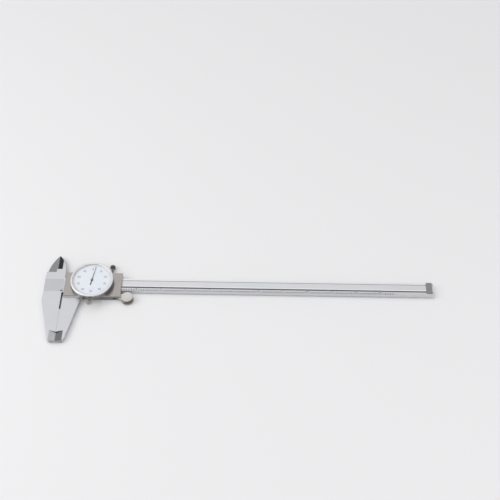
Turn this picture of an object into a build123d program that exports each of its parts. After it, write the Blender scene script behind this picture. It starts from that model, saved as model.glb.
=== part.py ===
"""Dial caliper for inches: one turn of the pointer for each tenth, 0 to 12 inches.

It lies on its back with the dial up. X runs along the beam to its free end, Y towards
the inside jaws and Z up out of the dial. Shapes are drawn with X counted from the
measuring plane, where the closed jaws meet. The export moves them, so that the origin
lies on the rest plane, straight behind the dial's spindle, on the beam's centre line.
"""
import os
from math import acos, asin, atan2, ceil, cos, degrees, pi, radians, sin, sqrt, tan

from build123d import *

# Range and beam
inch = 25.4
travel = 12 * inch
beam_width = 16.0
beam_thickness = 4.0
beam_edge_chamfer = 0.3
slide_gap = 0.05
channel_start = 5.0
channel_depth = 1.5
upper_land = 2.4
scale_land = 3.85
pinion_slot = 2.15
groove_width = 3.3
groove_depth = 1.5
overrun = 12.8
stop_length = 6.1
stop_reach = 13.4
stop_thickness = 1.0
stop_inset = 1.6

# Fixed head and outside jaws
head_length = 20.0
head_top = 15.4
nib_shoulder = 19.6
nib_step_x = -9.7
jaw_shoulder_y = -22.4
jaw_tip_y = -71.9
jaw_tip_width = 7.4
jaw_tip_round = 2.6
jaw_heel_x = 19.2
jaw_heel_y = -19.6
movable_tip_width = 6.9
movable_chamfer_x = 9.2
movable_chamfer_y = -67.8
jaw_light_gap = 0.02
relief_width = 1.9
relief_top_y = -11.2
relief_bottom_y = -33.1
knife_start_y = -59.4
knife_apex_y = -61.6
knife_width = 7.2
knife_edge = 1.2
band_top = 5.8
band_bottom = -9.8
band_depth = 0.12

# Inside jaws, two crossed half thickness nibs
nib_line_x = -9.1
nib_tip_y = 38.4
nib_tip_flat = 0.5
nib_gap = 0.1
nib_bevel = 5.2
nib_edge = 0.22
fixed_nib_root_y = 12.5
fixed_nib_belly = (-2.2, 27.0)
movable_nib_root = (-19.3, 13.0)
movable_nib_belly = (-16.8, 25.0)
movable_nib_fillet = 4.0
nib_arm_end_x = 3.6

# Slider
slider_start = 1.5
slider_length = 59.2
rail_top_y = 13.3
rail_bottom_y = -17.2
web_thickness = 1.0
front_plate_thickness = 1.4
front_plate_chamfer = 0.3
back_cover_thickness = 1.0
gib_width = 2.0
gib_start = 4.4
gib_end_gap = 0.6
gib_side_gap = 0.15
gib_screw_radius = 1.0
gib_screw_insets = (7.5, 35.0)

# Dial case, bezel and glass
spindle_inset = 28.6
case_radius = 22.0
case_wall = 1.0
case_height = 4.1
case_floor = 0.6
case_floor_hole = 14.0
bezel_overhang = 0.3
bezel_height = 2.15
bezel_gap = 0.05
bezel_skirt = 1.75
bezel_skirt_wall = 0.6
bezel_face = 2.2
bezel_chamfer = 0.5
glass_thickness = 0.7
glass_groove_depth = 0.7
glass_dome = 0.5
glass_seat_below_top = 1.35
dial_thickness = 0.4
dial_ledge = 0.55
dial_ledge_height = 1.1
dial_hole = 1.1
case_screw_y = 11.5
case_screw_reach = 18.0

# Movement, rack and gears
rack_pitch = 0.025 * inch
pinion_leaves = 8
rack_pressure_angle = 30.0
rack_addendum = 0.19
rack_thickness = 1.3
rack_gap = 0.3
rack_lead_teeth = 4
mesh_backlash = 0.05
wheel_teeth = 40
centre_teeth = 20
wheel_module = 0.2
wheel_pressure_angle = 20.0
wheel_thickness = 0.6
wheel_window = 12.6
backlash_wheel_pinion_teeth_on = 12
pillar_height = 2.0
pillar_radius = 1.2
pillar_ring = 10.0
pillar_angles = (135.0, 350.0, 265.0)
top_plate_radius = 11.6
top_plate_thickness = 0.6
arbor_radius = 0.5
pivot_radius = 0.3
pivot_clearance = 0.03
spring_turns = 3
spring_inner_radius = 0.75
spring_outer_radius = 2.7
spring_blade = 0.12
spring_height = 0.25
pointer_height = 0.2
pointer_hub_radius = 1.3
pointer_length = 18.5
pointer_tail = 6.6

# Screws, depth rod and thumb roller
cover_screw_radius = 0.8
cover_screw_inset = 3.2
cover_screw_pitch = 22.8
case_screw_radius = 0.8
stop_screw_radius = 0.8
movement_screw_radius = 0.4
screw_head_ratio = 1.75
screw_slot = 0.35
lock_screw_inset = 12.1
lock_neck_radius = 1.1
lock_neck_end_y = 23.3
lock_head_radius = 2.8
lock_head_length = 2.3
lock_dome = 1.0
clamp_neck_radius = 1.0
clamp_thread_radius = 0.8
clamp_neck_length = 3.0
clamp_shoulder = 2.6
clamp_head_radius = 2.75
clamp_head_length = 1.7
clamp_slot_width = 0.9
clamp_slot_depth = 1.3
clamp_height = 10.0
rod_width = 3.1
rod_thickness = 1.3
rod_inset = 14.7
rod_screw_first = 2.5
rod_screw_pitch = 6.0
rod_tip_length = 6.0
rod_tip_width = 1.7
roller_radius = 5.8
roller_lower_radius = 6.5
roller_reach = 6.9
roller_lift = 0.3
roller_drop = 0.5
roller_disc = 1.4
roller_floor_gap = 0.5
roller_shaft_radius = 1.5
roller_flutes = 36
roller_flute_depth = 0.2
arm_pivot_inset = 4.3
arm_thickness = 2.0
arm_pivot_boss = 2.7
arm_roller_boss = 3.0
arm_gap = 0.1
arm_pin_radius = 1.0

# Levels and lines that follow
back_z = back_cover_thickness + slide_gap
front_z = back_z + beam_thickness
middle_z = (back_z + front_z) / 2
rail_back_z = back_cover_thickness
web_back_z = front_z + slide_gap
web_front_z = web_back_z + web_thickness
plate_front_z = web_front_z + front_plate_thickness
case_top_z = plate_front_z + case_height
bezel_base_z = case_top_z + bezel_gap
bezel_top_z = bezel_base_z + bezel_height
skirt_base_z = bezel_base_z - bezel_skirt
dial_back_z = skirt_base_z + dial_ledge_height
dial_front_z = dial_back_z + dial_thickness
beam_top = beam_width / 2
slider_end = slider_start + slider_length
spindle_x = slider_start + spindle_inset
lock_screw_x = slider_end - lock_screw_inset
gib_screw_x = [slider_start + inset for inset in gib_screw_insets]
rod_start = slider_end - rod_inset
arm_pivot_x = slider_end - arm_pivot_inset
arm_pivot_y = (rail_bottom_y - beam_width / 2) / 2
roller_x = slider_end + roller_reach
roller_y = rail_bottom_y + roller_lift
bezel_radius = case_radius + bezel_overhang
bezel_opening = bezel_radius - bezel_face
gib_back_y = beam_top + 2 * slide_gap + gib_width
beam_reach = slider_end + travel + overrun + stop_length + stop_inset
channel_top = beam_top - upper_land
channel_bottom = scale_land - beam_top
channel_floor_z = front_z - channel_depth
rack_front_z = channel_floor_z + rack_thickness
pinion_pitch_radius = rack_pitch * pinion_leaves / (2 * pi)
rack_root_y = channel_bottom + pinion_slot
rack_root_depth = rack_pitch / 4 / tan(radians(rack_pressure_angle))
rack_pitch_y = rack_root_y - rack_root_depth
rack_tip_y = rack_pitch_y - rack_addendum
rack_arbor_y = rack_pitch_y - pinion_pitch_radius
centre_distance = wheel_module * (wheel_teeth + centre_teeth) / 2
rack_arbor_x = spindle_x - sqrt(centre_distance**2 - rack_arbor_y**2)
skirt_radius = case_radius - case_wall - bezel_gap


def block(x0: float, x1: float, y0: float, y1: float, z0: float, z1: float) -> Part:
    """Box between two corners."""
    return Pos((x0 + x1) / 2, (y0 + y1) / 2, (z0 + z1) / 2) * Box(x1 - x0, y1 - y0, z1 - z0)


def post(x: float, y: float, z0: float, z1: float, radius: float) -> Part:
    """Round bar along Z."""
    return Pos(x, y, (z0 + z1) / 2) * Cylinder(radius, z1 - z0)


def bar_y(x: float, z: float, y0: float, y1: float, radius: float) -> Part:
    """Round bar along Y."""
    return Pos(x, (y0 + y1) / 2, z) * Rot(90, 0, 0) * Cylinder(radius, y1 - y0)


def slab(outline: Face | Sketch, z0: float, z1: float) -> Part:
    """Flat outline in X and Y, made solid from z0 to z1."""
    return Pos(0, 0, z0) * extrude(outline, z1 - z0)


def polygon(*points: tuple) -> Face:
    """Face inside straight lines through the points."""
    return make_face(Polyline(*points, close=True))


def wedge(side: list, y0: float, y1: float) -> Part:
    """Prism along Y from an outline of X and Z points."""
    outline = make_face(Plane.XZ * Polyline(*side, close=True))
    return Pos(0, y1, 0) * extrude(outline, y1 - y0, dir=(0, -1, 0))


def ring_section(*points: tuple) -> Part:
    """Solid of revolution about the spindle from radius and Z points."""
    outline = make_face(Plane.XZ * Polyline(*points, close=True))
    return Pos(spindle_x, 0, 0) * revolve(outline, Axis.Z)


def fluted_disc(radius: float, depth: float, flutes: int, length: float) -> Part:
    """Disc along Z from its base, with V flutes round its edge."""
    step = pi / flutes
    reach = [radius - depth * (i % 2) for i in range(2 * flutes)]
    return extrude(polygon(*[(r * cos(i * step), r * sin(i * step)) for i, r in enumerate(reach)]), length)


def turned(*parts: Part) -> Part:
    """One solid from pieces that are turned from one bar."""
    whole = parts[0]
    for piece in parts[1:]:
        whole = whole + piece
    return whole


def slotted_screw(x: float, y: float, z_seat: float, z_tip: float, radius: float, head: float) -> Part:
    """Cheese head screw along Z; its head goes on from the seat, away from the tip."""
    up = 1 if z_seat > z_tip else -1
    head_radius = radius * screw_head_ratio
    z_top = z_seat + up * head
    body = turned(
        post(x, y, min(z_seat, z_tip), max(z_seat, z_tip), radius),
        post(x, y, min(z_seat, z_top), max(z_seat, z_top), head_radius),
    )
    slot_low, slot_high = sorted((z_top - up * head / 2, z_top + up * head))
    return body - block(x - head_radius, x + head_radius, y - screw_slot / 2, y + screw_slot / 2,
                        slot_low, slot_high)


def involute_half_angle(radius: float, pitch_radius: float, pressure: float, half_pitch_angle: float) -> float:
    """Half of a tooth's angle at a radius, for the involute that has half_pitch_angle at the pitch circle."""
    base = pitch_radius * cos(pressure)
    at_pitch = tan(pressure) - pressure
    alpha = acos(min(1.0, base / radius))
    return half_pitch_angle + at_pitch - (tan(alpha) - alpha)


def gear_outline(teeth: int, module: float, angle: float, root: float, addendum: float, phase: float,
                 steps: int) -> Face:
    """Spur gear: each flank follows the involute in a few steps, from the root circle to the tip."""
    pitch_radius = teeth * module / 2
    pressure = radians(angle)
    half = pi / (2 * teeth) - mesh_backlash / (2 * pitch_radius)
    low, high = pitch_radius - root, pitch_radius + addendum
    radii = [low + (high - low) * i / steps for i in range(steps + 1)]
    flank = [(r, max(0.01, involute_half_angle(r, pitch_radius, pressure, half))) for r in radii]
    points = []
    for tooth in range(teeth):
        middle = phase + 2 * pi * tooth / teeth
        points += [(r * cos(middle - a), r * sin(middle - a)) for r, a in flank]
        points += [(r * cos(middle + a), r * sin(middle + a)) for r, a in reversed(flank)]
    return polygon(*points)


def build_beam() -> Part:
    """Beam, fixed head, fixed outside jaw and fixed nib, ground from one piece."""
    c = beam_edge_chamfer
    y, z0, z1 = beam_top, back_z, front_z
    section = [(-y + c, z0), (y - c, z0), (y, z0 + c), (y, z1 - c), (y - c, z1), (-y + c, z1), (-y, z1 - c),
               (-y, z0 + c)]
    beam = extrude(make_face(Plane.YZ * Polyline(*section, close=True)), beam_reach)
    jaw = polygon((0, beam_top), (-head_length, beam_top), (-head_length, jaw_shoulder_y),
                  (-jaw_tip_width, jaw_tip_y), (0, jaw_tip_y))
    jaw = fillet(jaw.vertices().sort_by(Axis.Y)[:2].sort_by(Axis.X)[0], jaw_tip_round)
    jaw = fillet(jaw.vertices().sort_by_distance((-head_length, jaw_shoulder_y))[0], jaw_tip_round)
    nib_side = ThreePointArc((0, fixed_nib_root_y), fixed_nib_belly, (nib_line_x + nib_tip_flat, nib_tip_y))
    upper = make_face([
        nib_side,
        Polyline((nib_line_x + nib_tip_flat, nib_tip_y), (nib_line_x, nib_tip_y), (nib_line_x, nib_shoulder),
                 (nib_step_x, nib_shoulder), (nib_step_x, head_top), (-head_length, head_top),
                 (-head_length, beam_top - 1), (0, beam_top - 1), (0, fixed_nib_root_y)),
    ])
    solid = beam + slab(jaw, back_z, front_z) + slab(upper, middle_z + nib_gap / 2, front_z)
    bevel = [(nib_line_x - 1, middle_z + nib_gap / 2 + nib_edge), (nib_line_x, middle_z + nib_gap / 2 + nib_edge),
             (nib_line_x + nib_bevel, front_z), (nib_line_x + nib_bevel, front_z + 1), (nib_line_x - 1, front_z + 1)]
    solid -= wedge(bevel, nib_shoulder, nib_tip_y + 1)
    for knife in knife_cuts(-1):
        solid -= knife
    solid -= relief_slot()
    solid -= block(-head_length - 1, 0, band_bottom, band_top, front_z - band_depth, front_z + 1)
    solid -= block(channel_start, beam_reach + 1, channel_bottom, channel_top, channel_floor_z, front_z + 1)
    groove = groove_width / 2
    solid -= block(rod_start - 1, beam_reach + 1, -groove, groove, back_z - 1, back_z + groove_depth)
    for x, hole_y in stop_screw_places():
        solid -= post(x, hole_y, back_z, front_z, stop_screw_radius)
    solid -= post(rack_screw_x(), rack_screw_y(), back_z + beam_edge_chamfer, front_z, stop_screw_radius)
    return solid


def knife_cuts(side: int) -> list:
    """Wedges that thin a jaw's tip to a knife edge at the measuring plane, front and back; side is -1 or 1."""
    reach = side * knife_width
    plan = slab(polygon((-side * 0.5, knife_apex_y), (reach, knife_start_y), (side * 3 * knife_width, knife_start_y),
                        (side * 3 * knife_width, jaw_tip_y - 1), (-side * 0.5, jaw_tip_y - 1)),
                back_z - 2, front_z + 2)
    cuts = []
    for face_z, away in ((front_z + slide_gap, 1), (rail_back_z, -1)):
        edge_z = middle_z + away * knife_edge / 2
        wedge_side = [(-side * 0.5, edge_z), (0, edge_z), (reach, face_z), (reach, face_z + away),
                      (-side * 0.5, face_z + away)]
        cuts.append(plan & wedge(wedge_side, jaw_tip_y - 1, knife_start_y))
    return cuts


def relief_slot() -> Part:
    """Slot with round ends between the two outside jaws, half in each."""
    r = relief_width / 2
    middle = (relief_top_y + relief_bottom_y) / 2
    length = relief_top_y - relief_bottom_y
    outline = Pos(0, middle) * Rot(0, 0, 90) * SlotOverall(length, 2 * r)
    return slab(outline, 0, web_front_z + 1)


def rack_screw_x() -> float:
    """Place along the beam of the screw that holds the rack, under the closed slider."""
    return rod_start - 4


def rack_screw_y() -> float:
    """Middle of the rack's plain width."""
    return (channel_top - rack_gap + rack_root_y) / 2


def stop_screw_places() -> list:
    """Screws of the end stop: one in the upper land, one through the rack's end."""
    x = beam_reach - stop_inset - stop_length / 2
    return [(x, beam_top - upper_land / 2 - 0.2), (x, rack_root_y + 1.4)]


def build_rack() -> Part:
    """Toothed strip in the beam's channel; its teeth look towards the scale."""
    top = channel_top - rack_gap
    start, end = channel_start + 1, beam_reach - 0.4
    teeth = ceil(travel / rack_pitch) + 2 * rack_lead_teeth
    half_tip = rack_pitch / 4 - mesh_backlash / 4 - rack_addendum * tan(radians(rack_pressure_angle))
    points = [(start, top), (start, rack_tip_y)]
    for i in range(teeth):
        gap_x = rack_arbor_x + (i - rack_lead_teeth) * rack_pitch
        points += [(gap_x - rack_pitch / 2 + half_tip, rack_tip_y), (gap_x, rack_root_y),
                   (gap_x + rack_pitch / 2 - half_tip, rack_tip_y)]
    points += [(end, rack_tip_y), (end, top)]
    rack = slab(polygon(*points), channel_floor_z, rack_front_z)
    rack -= post(rack_screw_x(), rack_screw_y(), channel_floor_z, rack_front_z, stop_screw_radius)
    rack -= post(rack_screw_x(), rack_screw_y(), rack_front_z - 0.5, rack_front_z, stop_screw_radius * screw_head_ratio)
    x, y = stop_screw_places()[1]
    return rack - post(x, y, channel_floor_z, rack_front_z, stop_screw_radius)


def build_rack_screw() -> Part:
    """Flush screw that holds the rack in the channel."""
    return slotted_screw(rack_screw_x(), rack_screw_y(), rack_front_z - 0.5, back_z + beam_edge_chamfer,
                         stop_screw_radius, 0.45)


def build_end_stop() -> Part:
    """Plate across the beam's front near its free end, which keeps the slider on."""
    x1 = beam_reach - stop_inset
    plate = block(x1 - stop_length, x1, beam_top - stop_reach, beam_top, front_z, front_z + stop_thickness)
    plate = chamfer(plate.faces().sort_by(Axis.Z)[-1].edges(), 0.2)
    for x, y in stop_screw_places():
        plate -= post(x, y, front_z, front_z + stop_thickness, stop_screw_radius)
        plate -= post(x, y, front_z + stop_thickness / 2, front_z + stop_thickness,
                      stop_screw_radius * screw_head_ratio)
    return plate


def build_end_stop_screws() -> Part:
    """Two screws that hold the end stop, with heads sunk to its face."""
    seat = front_z + stop_thickness / 2
    return Compound([slotted_screw(x, y, seat, back_z + groove_depth + 0.2, stop_screw_radius, stop_thickness / 2)
                     for x, y in stop_screw_places()])


def build_slider() -> Part:
    """Slider, movable outside jaw and movable nib in one piece: a front web with a rail above and below the beam."""
    jaw = polygon((jaw_light_gap, -beam_top - slide_gap), (jaw_light_gap, jaw_tip_y), (movable_tip_width, jaw_tip_y),
                  (movable_chamfer_x, movable_chamfer_y), (jaw_heel_x, jaw_heel_y - 1), (jaw_heel_x, jaw_heel_y),
                  (jaw_heel_x + 1.5, rail_bottom_y), (slider_end, rail_bottom_y), (slider_end, -beam_top - slide_gap))
    nib_outline = make_face([
        ThreePointArc(movable_nib_root, movable_nib_belly, (nib_line_x - nib_tip_flat, nib_tip_y)),
        Polyline((nib_line_x - nib_tip_flat, nib_tip_y), (nib_line_x, nib_tip_y),
                 (nib_line_x, rail_top_y + movable_nib_fillet)),
        ThreePointArc((nib_line_x, rail_top_y + movable_nib_fillet),
                      (nib_line_x + movable_nib_fillet * (1 - cos(pi / 4)),
                       rail_top_y + movable_nib_fillet * (1 - sin(pi / 4))),
                      (nib_line_x + movable_nib_fillet, rail_top_y)),
        Polyline((nib_line_x + movable_nib_fillet, rail_top_y), (nib_arm_end_x, rail_top_y),
                 (nib_arm_end_x, beam_top + nib_gap), (movable_nib_root[0] + 2.4, beam_top + nib_gap),
                 movable_nib_root),
    ])
    solid = slab(jaw, rail_back_z, web_back_z)
    solid += slab(nib_outline, rail_back_z, middle_z - nib_gap / 2)
    solid += block(slider_start, slider_end, gib_back_y, rail_top_y, rail_back_z, web_back_z)
    solid += block(slider_start, slider_end, rail_bottom_y, rail_top_y, web_back_z, web_front_z)
    bevel = [(nib_line_x + 1, middle_z - nib_gap / 2 - nib_edge), (nib_line_x, middle_z - nib_gap / 2 - nib_edge),
             (nib_line_x - nib_bevel, rail_back_z), (nib_line_x - nib_bevel, rail_back_z - 1),
             (nib_line_x + 1, rail_back_z - 1)]
    solid -= wedge(bevel, nib_shoulder, nib_tip_y + 1)
    for knife in knife_cuts(1):
        solid -= knife
    solid -= relief_slot()
    slot_z0, slot_z1 = arm_levels(arm_gap)
    solid -= block(arm_pivot_x - arm_pivot_boss - 1, slider_end + 1, rail_bottom_y - 1, -beam_top - 1,
                   slot_z0, slot_z1)
    solid -= post(arm_pivot_x, arm_pivot_y, rail_back_z, web_front_z, arm_pin_radius)
    for x in gib_screw_x:
        solid -= bar_y(x, middle_z, gib_back_y - 1, rail_top_y + 1, gib_screw_radius)
    solid -= bar_y(lock_screw_x, middle_z, gib_back_y - 1, rail_top_y + 1, lock_neck_radius + pivot_clearance)
    solid -= post(rack_arbor_x, rack_arbor_y, web_back_z, web_front_z, arbor_radius + pivot_clearance)
    for x, y in ((spindle_x, 0), backlash_place()):
        solid -= post(x, y, web_back_z, web_front_z, pivot_radius + pivot_clearance)
    for x, y in pillar_places():
        solid -= post(x, y, web_back_z, web_front_z, movement_screw_radius)
    for x, y in case_screw_places():
        solid -= post(x, y, middle_z + gib_screw_radius + 0.4, web_front_z, case_screw_radius)
    for x, y in cover_screw_places():
        solid -= post(x, y, rail_back_z, middle_z + 0.4, cover_screw_radius)
    return solid


def arm_levels(gap: float) -> tuple:
    """Lowest and highest Z of the roller arm, or of its slot when a gap is given."""
    return middle_z - arm_thickness / 2 - gap, middle_z + arm_thickness / 2 + gap


def cover_screw_places() -> list:
    """Screws of the back cover, in the two rails."""
    upper = (gib_back_y + rail_top_y) / 2
    lower = (rail_bottom_y - beam_top) / 2
    first = slider_start + cover_screw_inset
    return [(first, lower), (first + cover_screw_pitch, lower), (first, upper), (slider_end - cover_screw_inset, upper)]


def case_screw_places() -> list:
    """Four screws through the case's floor and the front plate into the rails."""
    reach_x = sqrt(case_screw_reach**2 - case_screw_y**2)
    return [(spindle_x + sx * reach_x, sy * case_screw_y) for sx in (-1, 1) for sy in (-1, 1)]


def pillar_places() -> list:
    """Centres of the movement's three pillars."""
    return [(spindle_x + pillar_ring * cos(radians(a)), pillar_ring * sin(radians(a))) for a in pillar_angles]


def transfer_direction() -> float:
    """Direction from the spindle to the rack arbor, in radians."""
    return atan2(rack_arbor_y, rack_arbor_x - spindle_x)


def backlash_direction() -> float:
    """Direction from the spindle to the backlash wheel, a whole number of centre teeth further round."""
    return transfer_direction() + 2 * pi * backlash_wheel_pinion_teeth_on / centre_teeth


def backlash_place() -> tuple:
    """Centre of the backlash wheel."""
    turn = backlash_direction()
    return spindle_x + centre_distance * cos(turn), centre_distance * sin(turn)


def build_front_plate() -> Part:
    """Satin plate on the slider's web, with a round window for the movement."""
    plate = block(slider_start, slider_end, rail_bottom_y, rail_top_y, web_front_z, plate_front_z)
    plate = chamfer(plate.faces().sort_by(Axis.Z)[-1].edges(), front_plate_chamfer)
    plate -= post(spindle_x, 0, web_front_z, plate_front_z, wheel_window)
    for x, y in case_screw_places():
        plate -= post(x, y, web_front_z, plate_front_z, case_screw_radius)
    return plate


def build_back_cover() -> Part:
    """Plate that closes the slider behind the beam; the caliper rests on it."""
    cover = block(slider_start, slider_end, rail_bottom_y, rail_top_y, 0, back_cover_thickness)
    cover = chamfer(cover.faces().sort_by(Axis.Z)[0].edges(), 0.25)
    for x, y in cover_screw_places():
        cover -= post(x, y, 0, back_cover_thickness, cover_screw_radius)
        cover -= post(x, y, 0, back_cover_thickness / 2, cover_screw_radius * screw_head_ratio)
    for x in rod_screw_places():
        cover -= post(x, 0, 0, back_cover_thickness, movement_screw_radius)
        cover -= post(x, 0, 0, back_cover_thickness / 2, movement_screw_radius * screw_head_ratio)
    return cover


def rod_screw_places() -> list:
    """Places along the beam of the two screws that hold the depth rod."""
    return [rod_start + rod_screw_first, rod_start + rod_screw_first + rod_screw_pitch]


def build_cover_screws() -> Part:
    """Four screws of the back cover, with heads sunk just under its face."""
    seat = back_cover_thickness / 2
    return Compound([slotted_screw(x, y, seat, middle_z + 0.4, cover_screw_radius, seat - 0.05)
                     for x, y in cover_screw_places()])


def build_gib() -> Part:
    """Bearing strip between the beam's upper edge and the upper rail."""
    y0 = beam_top + slide_gap
    return block(gib_start, slider_end - gib_end_gap, y0, y0 + gib_width, rail_back_z + gib_side_gap,
                 web_back_z - gib_side_gap)


def build_gib_screws() -> Part:
    """Two slotted set screws that adjust the gib."""
    screws = []
    for x in gib_screw_x:
        y0 = beam_top + slide_gap + gib_width
        screw = bar_y(x, middle_z, y0, rail_top_y - 0.2, gib_screw_radius)
        screws.append(screw - block(x - gib_screw_radius, x + gib_screw_radius, rail_top_y - 0.7, rail_top_y,
                                    middle_z - screw_slot / 2, middle_z + screw_slot / 2))
    return Compound(screws)


def build_lock_screw() -> Part:
    """Knurled thumb screw that locks the slider through the gib."""
    y0 = beam_top + slide_gap + gib_width + slide_gap
    neck = bar_y(lock_screw_x, middle_z, y0, lock_neck_end_y, lock_neck_radius)
    head = turned(
        fluted_disc(lock_head_radius, 0.18, 20, lock_head_length),
        Pos(0, 0, lock_head_length) * Cone(lock_head_radius - 0.2, lock_head_radius / 2, lock_dome,
                                           align=(Align.CENTER, Align.CENTER, Align.MIN)),
    )
    return neck + Pos(lock_screw_x, lock_neck_end_y, middle_z) * Rot(-90, 0, 0) * head


def build_case() -> Part:
    """Round dial case: a floor ring on the front plate and a wall that the bezel's skirt turns in."""
    r1, r0 = case_radius, case_radius - case_wall
    z0, z1, z2 = plate_front_z, plate_front_z + case_floor, case_top_z
    case = ring_section((case_floor_hole, z0), (r1 - 0.3, z0), (r1, z0 + 0.3), (r1, z2), (r0, z2), (r0, z1),
                        (case_floor_hole, z1))
    for x, y in case_screw_places():
        case -= post(x, y, z0, z1, case_screw_radius)
    return case - bar_y(spindle_x, clamp_height, -case_radius - 1, -case_radius + 2 * case_wall,
                        clamp_thread_radius + pivot_clearance)


def build_case_screws() -> Part:
    """Four screws that hold the case and the front plate to the slider."""
    return Compound([slotted_screw(x, y, plate_front_z + case_floor, middle_z + gib_screw_radius + 0.4,
                                   case_screw_radius, 0.5) for x, y in case_screw_places()])


def build_bezel() -> Part:
    """Turned ring that carries the glass and the dial, with a skirt inside the case's wall."""
    skirt_in = skirt_radius - bezel_skirt_wall
    z_glass0 = bezel_top_z - glass_seat_below_top
    z_glass1 = z_glass0 + glass_thickness
    groove = bezel_opening + glass_groove_depth
    c = bezel_chamfer
    return ring_section(
        (skirt_in - dial_ledge, skirt_base_z), (skirt_radius, skirt_base_z), (skirt_radius, bezel_base_z),
        (bezel_radius - 0.15, bezel_base_z), (bezel_radius, bezel_base_z + 0.15), (bezel_radius, bezel_top_z - c),
        (bezel_radius - c, bezel_top_z), (bezel_opening + 0.7, bezel_top_z), (bezel_opening, bezel_top_z - 0.5),
        (bezel_opening, z_glass1), (groove, z_glass1), (groove, z_glass0), (skirt_in, z_glass0),
        (skirt_in, dial_back_z), (skirt_in - dial_ledge, dial_back_z),
    )


def build_glass() -> Part:
    """Round clear cover with a low dome, snapped in the bezel's groove."""
    z0 = bezel_top_z - glass_seat_below_top
    z1 = z0 + glass_thickness
    r = bezel_opening + glass_groove_depth - bezel_gap
    dome_edge = bezel_opening - bezel_gap
    ball = (dome_edge**2 + glass_dome**2) / (2 * glass_dome)
    dome = post(spindle_x, 0, z0, z1 + glass_dome, dome_edge) & Pos(spindle_x, 0, z1 + glass_dome - ball) * Sphere(ball)
    return post(spindle_x, 0, z0, z1, r) + dome


def build_dial_face() -> Part:
    """Graduated disc that turns with the bezel."""
    radius = skirt_radius - bezel_skirt_wall
    return post(spindle_x, 0, dial_back_z, dial_front_z, radius) - post(spindle_x, 0, dial_back_z, dial_front_z,
                                                                        dial_hole)


def build_top_plate() -> Part:
    """Movement's upper plate, with pivot holes and a stud that holds the hairspring's outer end."""
    z0 = web_front_z + pillar_height
    z1 = z0 + top_plate_thickness
    plate = post(spindle_x, 0, z0, z1, top_plate_radius)
    plate -= post(spindle_x, 0, z0, z1, arbor_radius + pivot_clearance)
    for x, y in ((rack_arbor_x, rack_arbor_y), backlash_place()):
        plate -= post(x, y, z0, z1, pivot_radius + pivot_clearance)
    for x, y in pillar_places():
        plate -= post(x, y, z0, z1, movement_screw_radius)
    x, y = backlash_place()
    return plate + post(x + spring_outer_radius, y, z0 - spring_height - 0.1, z0, 0.35)


def build_pillars() -> Part:
    """Three turned pillars between the slider's web and the upper plate."""
    z0, z1 = web_front_z, web_front_z + pillar_height
    return Compound([post(x, y, z0, z1, pillar_radius) - post(x, y, z0, z1, movement_screw_radius)
                     for x, y in pillar_places()])


def build_movement_screws() -> Part:
    """Three long screws through the upper plate and the pillars."""
    seat = web_front_z + pillar_height + top_plate_thickness
    return Compound([slotted_screw(x, y, seat, web_back_z + 0.1, movement_screw_radius, 0.3)
                     for x, y in pillar_places()])


def build_rack_pinion() -> Part:
    """Leaf pinion in the rack, with the arbor that carries the transfer wheel."""
    leaves = gear_outline(pinion_leaves, 2 * pinion_pitch_radius / pinion_leaves, rack_pressure_angle,
                          rack_root_depth - 0.03, rack_addendum, pi / 2, 3)
    z_top = web_front_z + pillar_height
    pinion = Pos(rack_arbor_x, rack_arbor_y) * slab(leaves, channel_floor_z + 0.15, web_back_z - 0.1)
    return turned(
        pinion,
        post(rack_arbor_x, rack_arbor_y, web_back_z - 0.2, z_top - 0.1, arbor_radius),
        post(rack_arbor_x, rack_arbor_y, z_top - 0.2, z_top + top_plate_thickness, pivot_radius),
    )


def wheel(x: float, y: float, z0: float, direction: float, bore: float) -> Part:
    """Wheel that meshes with the centre pinion, seen from it in the given direction."""
    outline = gear_outline(wheel_teeth, wheel_module, wheel_pressure_angle, 1.25 * wheel_module, wheel_module,
                           direction + pi + pi / wheel_teeth, 1)
    return Pos(x, y) * slab(outline, z0, z0 + wheel_thickness) - post(x, y, z0, z0 + wheel_thickness, bore)


def build_transfer_wheel() -> Part:
    """Wheel on the rack pinion's arbor; it drives the centre pinion two turns for one."""
    return wheel(rack_arbor_x, rack_arbor_y, web_front_z + 0.2, transfer_direction(), arbor_radius)


def build_backlash_wheel() -> Part:
    """Second wheel on the centre pinion, loaded by the hairspring to take up play."""
    x, y = backlash_place()
    return wheel(x, y, web_front_z + 0.2 + wheel_thickness + 0.15, backlash_direction(), arbor_radius)


def build_backlash_arbor() -> Part:
    """Arbor of the backlash wheel."""
    x, y = backlash_place()
    z_top = web_front_z + pillar_height
    return turned(
        post(x, y, web_back_z + 0.1, web_front_z + 0.1, pivot_radius),
        post(x, y, web_front_z + 0.05, z_top - 0.1, arbor_radius),
        post(x, y, z_top - 0.15, z_top + top_plate_thickness, pivot_radius),
    )


def build_hairspring() -> Part:
    """Flat spiral spring round the backlash arbor; its outer end meets the plate's stud."""
    x, y = backlash_place()
    steps = 16 * spring_turns
    z1 = web_front_z + pillar_height - 0.1

    def spiral(offset: float) -> list:
        """Points of the spiral, moved outwards by an offset."""
        growth = spring_outer_radius - 0.35 - spring_inner_radius
        radii = [spring_inner_radius + growth * i / steps + offset for i in range(steps + 1)]
        return [(r * cos(2 * pi * i / 16), r * sin(2 * pi * i / 16)) for i, r in enumerate(radii)]

    blade = polygon(*spiral(-spring_blade / 2), *reversed(spiral(spring_blade / 2)))
    return Pos(x, y) * slab(blade, z1 - spring_height, z1)


def build_centre_pinion() -> Part:
    """Pinion and arbor that carry the pointer."""
    outline = gear_outline(centre_teeth, wheel_module, wheel_pressure_angle, 1.25 * wheel_module, wheel_module,
                           transfer_direction(), 1)
    z_top = web_front_z + pillar_height
    return turned(
        Pos(spindle_x, 0) * slab(outline, web_front_z + 0.15, z_top - 0.2),
        post(spindle_x, 0, web_back_z + 0.1, web_front_z + 0.2, pivot_radius),
        post(spindle_x, 0, z_top - 0.25, dial_front_z + 0.9, arbor_radius),
    )


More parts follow.
